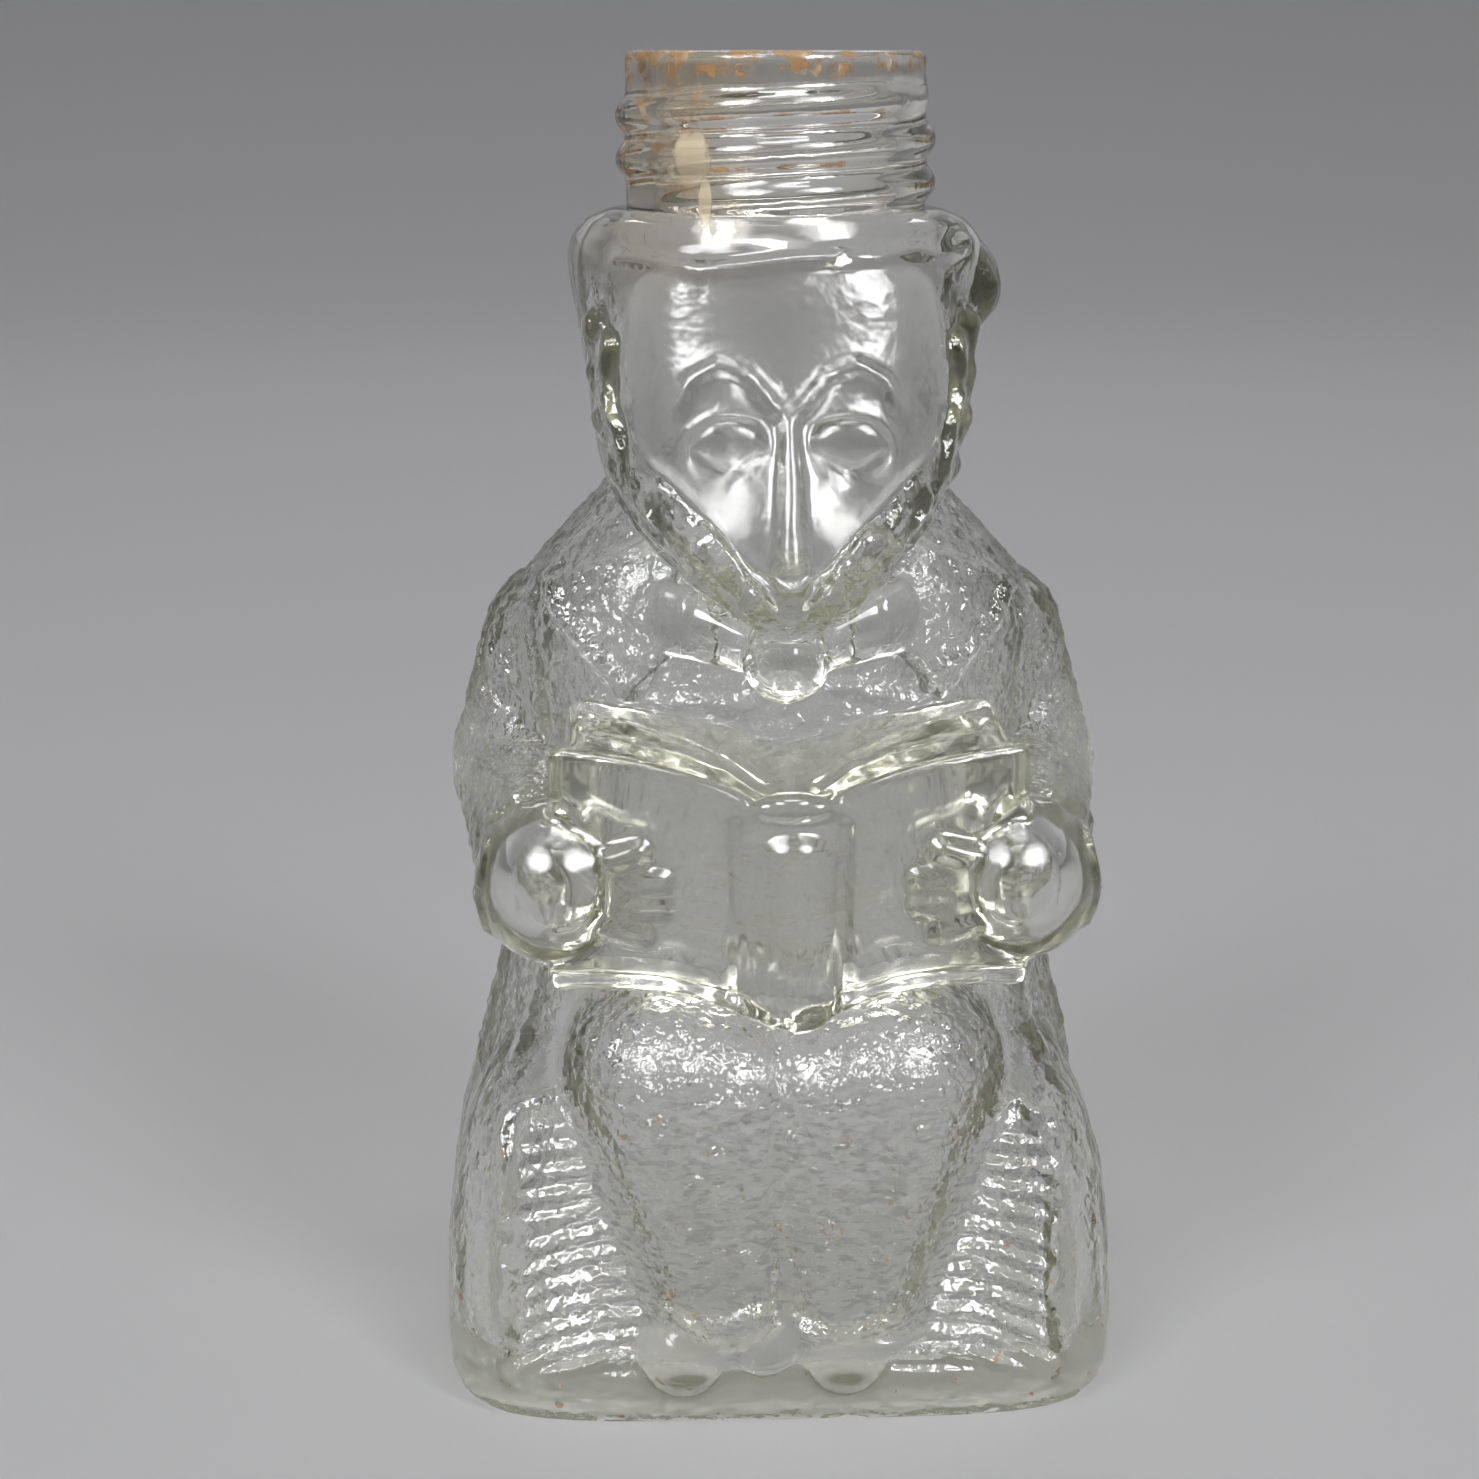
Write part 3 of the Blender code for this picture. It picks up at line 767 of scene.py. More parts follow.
@dataclass
class Arms:
    """Sleeves with turned cuffs, round hands, and fingers fanned on the book."""

    shoulder: tuple[float, float, float] = (21.0 * MM, 2.0 * MM, 70.8 * MM)
    shoulder_radius: float = 7.5 * MM
    elbow: tuple[float, float, float] = (25.3 * MM, 2.0 * MM, 58.0 * MM)
    elbow_radius: float = 6.6 * MM
    cuff_radius: float = 7.0 * MM
    cuff_length: float = 2.0 * MM
    hand: tuple[float, float, float] = (21.0 * MM, -22.4 * MM, 52.6 * MM)
    hand_radius: float = 7.9 * MM
    fingers: int = 4
    finger_radius: float = 1.35 * MM
    finger_length: float = 2.4 * MM
    finger_pitch: float = 2.5 * MM
    finger_root_share: float = 0.72
    finger_tip_share: float = 0.8
    cover_share: float = 0.70

    def sleeve(self, side: int, inset: float = 0.0) -> list[tuple[Vector, float]]:
        """Shoulder, elbow and cuff of one sleeve, each drawn in by inset.

        Args:
            side: -1 or 1.
            inset: How far each is drawn in.

        Returns:
            A centre and a radius for each of the three.
        """
        places = (self.shoulder, self.elbow, self.hand)
        shoulder, elbow, hand = (on_side(place, side) for place in places)
        cuff = hand + (elbow - hand).normalized() * self.hand_radius
        return [
            (shoulder, self.shoulder_radius - inset),
            (elbow, self.elbow_radius - inset),
            (cuff, self.elbow_radius - inset),
        ]

    def sleeves(self) -> list[bpy.types.Object]:
        """Models both sleeves and their cuffs.

        Returns:
            The forms, not yet joined.
        """
        items = []
        for side in (-1, 1):
            arm = self.sleeve(side)
            items += limb("sleeve", arm, 28)
            elbow, cuff = arm[1][0], arm[2][0]
            back = cuff + (elbow - cuff).normalized() * self.cuff_length
            items.append(hull("cuff", [(cuff, self.cuff_radius), (back, self.cuff_radius)], 28))
        return items

    def hands(self, book: "Book") -> list[bpy.types.Object]:
        """Models both hands on the covers of the book.

        Args:
            book: The book that they hold.

        Returns:
            The forms, not yet joined.
        """
        items = []
        for side in (-1, 1):
            hand = on_side(self.hand, side)
            items.append(ball("hand", hand, self.hand_radius))
            ahead = book.cover(self.cover_share, side, 0.0).y - book.cover_radius
            for finger in range(self.fingers):
                rise = (finger - (self.fingers - 1) / 2) * self.finger_pitch
                reach = self.hand_radius + self.finger_length - abs(rise) * self.finger_tip_share
                root = Vector((hand.x - side * self.hand_radius / 2, ahead, hand.z))
                root.z += rise * self.finger_root_share
                tip = Vector((hand.x - side * reach, ahead, hand.z + rise))
                pair = [(root, self.finger_radius), (tip, self.finger_radius)]
                items.append(hull("finger", pair, 14))
        return items


@dataclass
class Book:
    """The open book, its covers towards the viewer and its halves gently arched.

    The arch gives, from spine to edge, a share of the half width, and the foot and the
    top of the cover there.
    """

    half_width: float = 21.0 * MM
    front: float = 28.6 * MM
    sweep: float = 2.6 * MM
    cover_radius: float = 0.95 * MM
    arch: tuple[tuple[float, float, float], ...] = (
        (0.00, 40.4 * MM, 59.0 * MM),
        (0.13, 41.4 * MM, 60.0 * MM),
        (0.28, 42.8 * MM, 61.6 * MM),
        (0.45, 43.7 * MM, 62.9 * MM),
        (0.64, 44.1 * MM, 63.9 * MM),
        (0.84, 44.2 * MM, 64.6 * MM),
        (1.00, 44.0 * MM, 65.0 * MM),
    )
    spine: tuple[float, float, float] = (4.1 * MM, 3.2 * MM, 3.2 * MM)
    spine_proud: float = 1.4 * MM
    spine_top: float = 55.8 * MM
    spine_foot: float = 42.4 * MM
    spine_across: float = 0.4 * MM
    knob: tuple[float, float, float] = (3.8 * MM, 1.7 * MM, 1.4 * MM)
    knob_height: float = 60.9 * MM
    knob_across: float = 0.2 * MM
    knob_share: float = 0.45
    page_inset: float = 1.5 * MM
    page_depth: float = 12.5 * MM
    page_rise: tuple[float, float] = (4.4 * MM, 1.6 * MM)
    page_edge_share: float = 0.8

    def cover(self, share: float, side: int, height: float) -> Vector:
        """A place in the middle of a cover, at a share of the way from spine to edge."""
        across = side * share * self.half_width
        return Vector((across, -(self.front - self.sweep * share), height))

    def half(self, side: int) -> list[bpy.types.Object]:
        """Models one cover and its pages, as slabs that follow the arch.

        Args:
            side: -1 or 1.

        Returns:
            The forms, not yet joined.
        """
        items = []
        for near, far in zip(self.arch, self.arch[1:]):
            board, pages = [], []
            for share, foot, top in (near, far):
                low, high = self.cover(share, side, foot), self.cover(share, side, top)
                board += [(low, self.cover_radius), (high, self.cover_radius)]
                inward = Vector((-side * self.page_inset * (share == 1.0), 0, 0))
                back = Vector((0, self.page_depth, 0))
                bottom = low + inward + Vector((0, 0, self.page_inset))
                middle, edge = self.page_rise
                rise = Vector((0, 0, middle + (edge - middle) * share))
                pages += [bottom, bottom + back, high + inward, high + inward + back + rise]
            items.append(hull("cover", board, 14))
            edge_radius = self.cover_radius * self.page_edge_share
            items.append(hull("pages", [(page, edge_radius) for page in pages], 12))
        return items

    def build(self) -> list[bpy.types.Object]:
        """Models the spine with its head cap, and both halves.

        Returns:
            The forms, not yet joined.
        """
        ahead = self.front - self.spine[1] + self.spine_proud + self.cover_radius
        ends = [(self.spine_across, -ahead, up) for up in (self.spine_top, self.spine_foot)]
        cap_ahead = ahead + self.spine[1] * self.knob_share
        cap = Vector((self.knob_across, -cap_ahead, self.knob_height))
        return [
            hull("spine", [(Vector(end), self.spine) for end in ends], 28),
            ball("head_cap", cap, self.knob),
            *self.half(-1),
            *self.half(1),
        ]


@dataclass
class Legs:
    """Trouser legs that meet in a crease, their hems, and the rounded shoes."""

    joints: tuple[tuple[float, float, float, float], ...] = (
        (11.6 * MM, -6.0 * MM, 34.0 * MM, 10.0 * MM),
        (11.0 * MM, -17.4 * MM, 31.8 * MM, 10.3 * MM),
        (9.9 * MM, -18.4 * MM, 23.5 * MM, 9.2 * MM),
        (7.9 * MM, -22.4 * MM, 11.6 * MM, 5.8 * MM),
    )
    inner_spread: float = 4.4 * MM
    inner_drop: float = 1.2 * MM
    hem_thickness: float = 1.3 * MM
    hem_proud: float = 0.5 * MM
    toe: tuple[float, float, float] = (7.6 * MM, -24.4 * MM, 7.2 * MM)
    toe_offset: float = -2.2 * MM
    shoe_radius: float = 4.5 * MM
    shoe_length: float = 6.0 * MM
    between_height: float = 8.6 * MM
    between_radius: float = 4.0 * MM

    def outer(self, side: int, inset: float = 0.0) -> list[tuple[Vector, float]]:
        """Hip, knee, shin and ankle of one leg, each drawn in by inset."""
        return [(on_side(joint[:3], side), joint[3] - inset) for joint in self.joints]

    def trousers(self, inset: float = 0.0) -> list[bpy.types.Object]:
        """Models both trouser legs, or the room inside them where there is an inset.

        Args:
            inset: How far the legs are drawn in.

        Returns:
            The forms, not yet joined.
        """
        items = []
        for side in (-1, 1):
            outer = self.outer(side, inset)
            inner = [
                (Vector((side * self.inner_spread, at.y, at.z - self.inner_drop)), radius)
                for at, radius in outer
            ]
            for step in range(len(outer) - 1):
                pair = outer[step : step + 2] + inner[step : step + 2]
                items.append(hull("trouser", pair, 28))
        return items

    def shoes(self) -> list[bpy.types.Object]:
        """Models the hems, the shoes and the round form between them.

        Returns:
            The forms, not yet joined.
        """
        items = []
        for side in (-1, 1):
            ankle, radius = self.outer(side)[-1]
            hem = Vector((ankle.x, ankle.y, ankle.z - radius / 2))
            around = radius + self.hem_proud
            items.append(ball("hem", hem, (around, around, self.hem_thickness)))
            toe = Vector((self.toe_offset + side * self.toe[0], *self.toe[1:]))
            heel = toe + Vector((0, self.shoe_length, 0))
            items.append(hull("shoe", [(toe, self.shoe_radius), (heel, self.shoe_radius)], 28))
        between = Vector((self.toe_offset, self.toe[1], self.between_height))
        items.append(ball("between", between, self.between_radius))
        return items


# Neck and hollow


@dataclass
class Neck:
    """The turned neck with its raised thread, and the bore inside it.

    The thread's crest is a share of its depth, which is also how far its faded ends sink in.
    """

    top: float = 127.0 * MM
    lip_radius: float = 14.2 * MM
    bore_radius: float = 11.4 * MM
    length: float = 15.0 * MM
    root: float = 6.0 * MM
    rounding: float = 0.6 * MM
    overrun: float = 4.0 * MM
    bore_rings: int = 24
    sides: int = 96
    pitch: float = 4.05 * MM
    depth: float = 1.20 * MM
    width: float = 2.9 * MM
    turns: float = 2.5
    drop: float = 3.8 * MM
    start_share: float = 0.06
    fade_share: float = 0.08
    steps: int = 72
    ridge_sides: int = 14
    ridge_crest: float = 0.85
    grain: float = 0.36 * MM
    smooth_steps: int = 7
    most: int = 34000

    def ridge(self) -> bpy.types.Object:
        """Models the thread: a half-round ridge on a right-hand helix, faded at both ends.

        Returns:
            The closed ridge.
        """
        points, faces = [], []
        count = round(self.turns * self.steps)
        for step in range(count + 1):
            share = step / count
            fade = min(1.0, share / self.fade_share, (1 - share) / self.fade_share)
            turn = 2 * math.pi * (self.start_share - self.turns * share)
            height = self.top - self.drop - self.turns * self.pitch * share
            reach = self.lip_radius - self.depth * (1 - fade)
            for side in range(self.ridge_sides):
                angle = 2 * math.pi * (side + 0.5) / self.ridge_sides
                radius = reach + self.depth * self.ridge_crest * math.cos(angle)
                rise = self.width / 2 * math.sin(angle)
                points.append((radius * math.cos(turn), radius * math.sin(turn), height + rise))
        wide = self.ridge_sides
        for step in range(count):
            for side in range(wide):
                after = (side + 1) % wide
                low, high = step * wide, (step + 1) * wide
                faces.append((low + side, low + after, high + after, high + side))
        faces += [tuple(range(wide))[::-1], tuple(range(count * wide, (count + 1) * wide))]
        mesh = bpy.data.meshes.new("thread")
        mesh.from_pydata(points, [], faces)
        item = put("thread", mesh)
        open_whole(item)
        close_solid()
        return item

    def build(self) -> bpy.types.Object:
        """Models the neck without its bore, rooted in the crown of the head.

        Returns:
            The closed neck.
        """
        foot = self.top - self.length - self.root
        soft = self.rounding
        profile = (
            (self.lip_radius, foot),
            (self.lip_radius, self.top - soft),
            (self.lip_radius - soft * 0.1, self.top - soft * 0.55),
            (self.lip_radius - soft * 0.4, self.top - soft * 0.15),
            (self.lip_radius - soft, self.top),
        )
        neck = join("neck", [turned("neck", profile, self.sides), self.ridge()])
        melt(neck, self.grain, self.smooth_steps)
        thin_out(neck, self.most, 2)
        return neck

    def bore(self) -> bpy.types.Object:
        """Models the bore, from inside the head to above the lip.

        Returns:
            The solid that opens the neck.
        """
        soft = self.rounding
        foot = self.top - self.length - self.root
        length = self.top - soft - foot
        steps = [length * step / self.bore_rings for step in range(self.bore_rings + 1)]
        profile = (
            *((self.bore_radius, foot + step) for step in steps),
            (self.bore_radius + soft * 0.3, self.top - soft * 0.3),
            (self.bore_radius + soft, self.top),
            (self.bore_radius + soft, self.top + self.overrun),
        )
        return turned("bore", profile, self.sides)


@dataclass
class Hollow:
    """The space for the sweets: the main forms drawn in by the wall."""

    wall: float = 3.1 * MM
    floor: float = 4.6 * MM
    grain: float = 0.85 * MM
    smooth_steps: int = 20
    most: int = 26000

    def build(self, arms: Arms, legs: Legs, neck: Neck) -> bpy.types.Object:
        """Models the hollow, open at the lip.

        Args:
            arms: The sleeves that it reaches into.
            legs: The legs that it reaches into.
            neck: The neck whose bore opens it.

        Returns:
            The solid that is cut out of the bottle.
        """
        floor = STUMP_FORM.at(self.floor, self.wall)
        above = [ring for ring in STUMP_FORM.sections(self.wall) if ring.height > self.floor]
        roomy = [
            ring
            for ring in HEAD_FORM.sections(self.wall)
            if min(ring.half_width, ring.reach * 2) > self.wall
        ]
        items = [
            STUMP_FORM.build([floor, *above]),
            COAT_FORM.build(COAT_FORM.sections(self.wall)),
            HEAD_FORM.build(roomy),
        ]
        items += legs.trousers(self.wall)
        for side in (-1, 1):
            hand = (on_side(arms.hand, side), arms.hand_radius - self.wall)
            room = [*arms.sleeve(side, self.wall), hand]
            items += limb("arm_room", room)
        room = join("hollow", items)
        melt(room, self.grain, self.smooth_steps)
        thin_out(room, self.most, 6)
        combine(room, neck.bore(), "UNION")
        return room


# Relief that the mould cut into the skin


@dataclass(frozen=True)
class Line:
    """A ridge or a groove along a path on the figure's front or back.

    The path gives places across and up. It is in millimetres, and so are the width and
    the height, which is negative for a groove.
    """

    path: tuple[tuple[float, float], ...]
    width: float
    height: float
    mirrored: bool = False
    behind: bool = False

    def spots(self, skin: BVHTree, pitch: float = 0.3 * MM) -> list[Vector]:
        """Points along the line, laid on the skin.

        Args:
            skin: The skin that the line is cut into.
            pitch: How far apart the points are.

        Returns:
            The points that met the skin.
        """
        found = []
        way = Vector((0, -1 if self.behind else 1, 0))
        for side in (-1, 1) if self.mirrored else (1,):
            places = [Vector((side * across, 0, up)) * MM for across, up in self.path]
            for one, two in zip(places, places[1:]):
                count = max(1, round((two - one).length / pitch))
                for step in range(count + 1):
                    place = one.lerp(two, step / count)
                    spot = skin.ray_cast(place - way, way)[0]
                    if spot is not None:
                        found.append(spot)
        return found


LINES = (
    # The crown's front edge
    Line(
        ((-14.9, 108.5), (-11.5, 108.3), (-7.8, 107.7), (-4.0, 108.0), (-0.6, 108.5), (4.8, 108.8)),
        1.0, 0.63,
    ),
    Line(((4.8, 108.8), (8.8, 108.8), (11.9, 109.2), (14.2, 108.6), (17.0, 109.6)), 1.0, 0.63),
    # The wavy rims of the stump's front panel
    Line(
        (
            (-21.9, 30.4), (-26.0, 28.8), (-26.6, 26.7), (-26.2, 24.4), (-26.9, 22.0),
            (-26.5, 19.4), (-26.9, 16.2), (-26.3, 13.6), (-27.0, 11.0), (-26.4, 8.6), (-27.0, 6.2),
            (-26.4, 4.2),
        ),
        0.8, 0.75,
    ),
    Line(
        (
            (19.9, 30.2), (24.9, 28.2), (25.9, 25.2), (25.5, 22.4), (26.0, 20.0), (25.2, 17.4),
            (25.6, 14.8), (25.0, 12.4), (25.8, 9.6), (26.2, 6.6), (25.6, 4.4),
        ),
        0.8, 0.75,
    ),
    # The trousers' hems, and the crease between the legs
    Line(
        ((-11.4, 12.4), (-8.9, 10.8), (-6.4, 10.6), (-3.6, 11.9), (-0.8, 11.7), (2.0, 10.2)),
        0.8, 0.57,
    ),
    Line(((2.0, 10.2), (4.4, 9.7), (6.6, 10.0), (9.9, 11.2), (12.2, 13.4)), 0.8, 0.57),
    Line(((-0.9, 41.0), (-0.9, 32.0), (-1.1, 22.0), (-1.2, 12.0)), 1.0, -1.0),
    # Folds in the trousers
    Line(((-12.5, 30.0), (-11.0, 24.0), (-9.4, 18.0), (-8.8, 13.5)), 1.3, 0.45),
    Line(((-6.0, 28.0), (-5.4, 22.0), (-4.4, 15.0)), 1.2, 0.33),
    Line(((12.0, 30.0), (10.4, 23.0), (9.0, 17.0), (8.6, 13.5)), 1.3, 0.45),
    Line(((5.2, 28.0), (4.4, 21.0), (3.4, 15.0)), 1.2, 0.33),
    # The pages' edges, on the book's open top
    Line(
        ((1.6, 60.9), (5.4, 63.2), (9.4, 64.7), (13.6, 65.6), (18.6, 66.3)),
        0.4, -0.3, mirrored=True,
    ),
    Line(
        ((1.8, 61.9), (5.6, 64.1), (9.6, 65.6), (13.8, 66.5), (18.4, 67.1)),
        0.35, -0.24, mirrored=True,
    ),
    # The hinges beside the spine
    Line(((5.0, 58.8), (4.9, 52.0), (4.9, 43.0)), 0.8, -1.05, mirrored=True),
    # The bow's folds and its folded ends
    Line(((3.2, 73.4), (6.4, 74.6), (8.2, 75.0)), 0.6, -0.42, mirrored=True),
    Line(((3.6, 71.8), (6.0, 72.4), (7.8, 72.6)), 0.5, -0.3, mirrored=True),
    Line(((9.0, 79.2), (9.4, 76.0), (9.0, 73.0)), 0.6, 0.45, mirrored=True),
    # The lapels' edges
    Line(
        ((21.7, 77.2), (20.4, 74.4), (17.2, 71.4), (14.8, 69.0), (12.8, 71.0), (11.2, 73.2)),
        0.7, 0.51, mirrored=True,
    ),
    # The shirt's opening over the book
    Line(
        ((5.1, 69.2), (9.0, 68.2), (12.1, 67.3), (13.4, 68.6), (13.9, 70.1), (15.8, 70.8)),
        0.7, 0.54,
    ),
    Line(((-15.0, 68.4), (-11.0, 67.2), (-7.8, 67.8), (-3.7, 67.2)), 0.7, 0.54),
    # Folds in the sleeves
    Line(((28.6, 66.0), (26.4, 63.8), (23.6, 62.6)), 0.9, 0.51, mirrored=True),
    Line(((29.8, 62.4), (27.2, 60.2), (24.2, 59.4)), 0.9, 0.51, mirrored=True),
    Line(((27.6, 70.6), (25.4, 67.4), (22.6, 65.8)), 0.9, 0.39, mirrored=True),
    Line(((22.8, 77.0), (23.6, 73.0), (22.6, 68.0), (22.0, 64.0)), 0.9, -0.45, mirrored=True),
    # The cuffs under the hands
    Line(((27.2, 57.6), (28.4, 52.0), (27.0, 46.6), (23.0, 43.6)), 0.8, 0.51, mirrored=True),
    # The coat's tails, beside the legs
    Line(((22.4, 42.0), (23.6, 37.0), (25.2, 32.4)), 0.9, 0.54, mirrored=True),
    Line(((26.4, 41.0), (27.6, 36.0), (28.6, 32.0)), 0.9, 0.39, mirrored=True),
    # The face's edge, where the fur starts
    Line(
        (
            (14.6, 99.0), (14.2, 95.0), (13.4, 91.4), (11.4, 88.8), (8.8, 86.8), (7.0, 84.6),
            (5.0, 82.4), (3.4, 80.0), (1.2, 77.8), (0.0, 77.2),
        ),
        0.7, 0.51, mirrored=True,
    ),
    # Locks of fur along the jaw
    Line(((16.4, 96.0), (15.4, 92.6), (14.6, 89.8)), 0.6, 0.45, mirrored=True),
    Line(((14.8, 89.4), (12.8, 87.0), (11.6, 85.4)), 0.6, 0.45, mirrored=True),
    Line(((12.2, 86.2), (10.2, 83.6), (8.8, 82.2)), 0.6, 0.45, mirrored=True),
    Line(((9.6, 83.6), (7.4, 81.0), (5.6, 79.2)), 0.6, 0.45, mirrored=True),
    Line(((16.6, 104.0), (16.2, 100.6), (16.8, 97.6)), 0.6, 0.42, mirrored=True),
    # Eyelids
    Line(((2.9, 91.6), (4.4, 90.6), (6.4, 90.6), (8.2, 91.8)), 0.45, -0.36, mirrored=True),
    # The coat's back: collar, middle seam, side seams and hem
    Line(
        ((0.0, 77.4), (6.0, 78.2), (12.0, 80.4), (16.0, 83.0)),
        0.8, -0.51, mirrored=True, behind=True,
    ),
    Line(((0.0, 76.6), (0.0, 50.0), (0.0, 36.0)), 0.6, -0.39, behind=True),
    Line(
        ((13.0, 70.0), (10.6, 60.0), (9.8, 48.0), (11.0, 38.0)),
        0.6, -0.3, mirrored=True, behind=True,
    ),
    Line(
        ((27.0, 36.4), (18.0, 34.2), (8.0, 33.4), (0.0, 33.2)),
        1.0, 0.6, mirrored=True, behind=True,
    ),
)


def noise_at(at: np.ndarray, size: float, shift: float = 0.0) -> np.ndarray:
    """Smooth noise from -1 to 1 at many points.

    Args:
        at: The points.
        size: How wide its lumps are.
        shift: Moves the noise, so that two of one size differ.

    Returns:
        One value for each point.
    """
    spots = (at / size + shift).tolist()
    return np.array([noise.noise(spot) for spot in spots], dtype=np.float32)


def ramp(values: np.ndarray, low: float, high: float) -> np.ndarray:
    """0 below low, 1 above high, and a straight slope between them."""
    return np.clip((values - low) / (high - low), 0, 1)


def spread(mesh: bpy.types.Mesh, values: np.ndarray, steps: int = 3) -> np.ndarray:
    """Softens values on a mesh's points, each towards the mean of its neighbours.

    Args:
        mesh: The mesh whose edges tell which points are neighbours.
        values: One value for each point.
        steps: How often each value moves.

    Returns:
        The softened values.
    """
    count = len(values)
    edges = np.empty(len(mesh.edges) * 2, dtype=np.int32)
    mesh.edges.foreach_get("vertices", edges)
    one, two = edges.reshape(-1, 2).T
    degree = np.bincount(one, minlength=count) + np.bincount(two, minlength=count)
    for _ in range(steps):
        total = np.bincount(one, values[two], count) + np.bincount(two, values[one], count)
        values = (values + total / degree) / 2
    return values


@dataclass(frozen=True)
class Grain:
    """Lumps of one height and size in the skin.

    The shift keeps two grains of one size apart. The scale squeezes the pattern along each
    axis, so that a grain with less than 1 along Z is drawn out upwards.
    """

    height: float
    size: float
    shift: float = 0.0
    scale: tuple[float, float, float] = (1.0, 1.0, 1.0)

    def at(self, places: np.ndarray) -> np.ndarray:
        """How far the lumps raise each place."""
        return noise_at(places * self.scale, self.size, self.shift) * self.height


@dataclass(frozen=True)
class Ribs:
    """The raised growth lines on the stump's front panel, bent down towards its edges."""

    height: float = 0.40 * MM
    pitch: float = 2.0 * MM
    level_half_width: float = 14.0 * MM
    bend: float = 5.5 * MM
    bend_top: float = 24.0 * MM
    most_swing: float = 1.3
    edge: float = 25.6 * MM
    edge_fade: float = 1.2 * MM
    foot: float = 4.6 * MM
    foot_fade: float = 1.2 * MM
    top: float = 28.0 * MM
    top_fade: float = 2.0 * MM
    facing: tuple[float, float] = (0.60, 0.85)
    wobble: Grain = Grain(0.55 * MM, 5.0 * MM, 23.0, (1.0, 0.0, 0.5))

    def at(self, places: np.ndarray, out: np.ndarray) -> np.ndarray:
        """How far the ribs raise or cut each place, where the skin looks out to the front.

        Args:
            places: The points.
            out: Their normals.

        Returns:
            One height for each point.
        """
        across, up = np.abs(places[:, 0]), places[:, 2]
        swing = (across - self.level_half_width) / self.level_half_width
        swing = np.clip(swing, 0, self.most_swing)
        bent = up + swing**2 * self.bend * np.clip(self.most_swing - up / self.bend_top, 0, 1)
        wave = np.sin(2 * np.pi * (bent + self.wobble.at(places)) / self.pitch)
        front = ramp(-out[:, 1], *self.facing)
        inside = ramp(self.edge - across, 0, self.edge_fade)
        above = ramp(up - self.foot, 0, self.foot_fade)
        below = ramp(self.top - up, 0, self.top_fade)
        return wave * front * inside * above * below * self.height


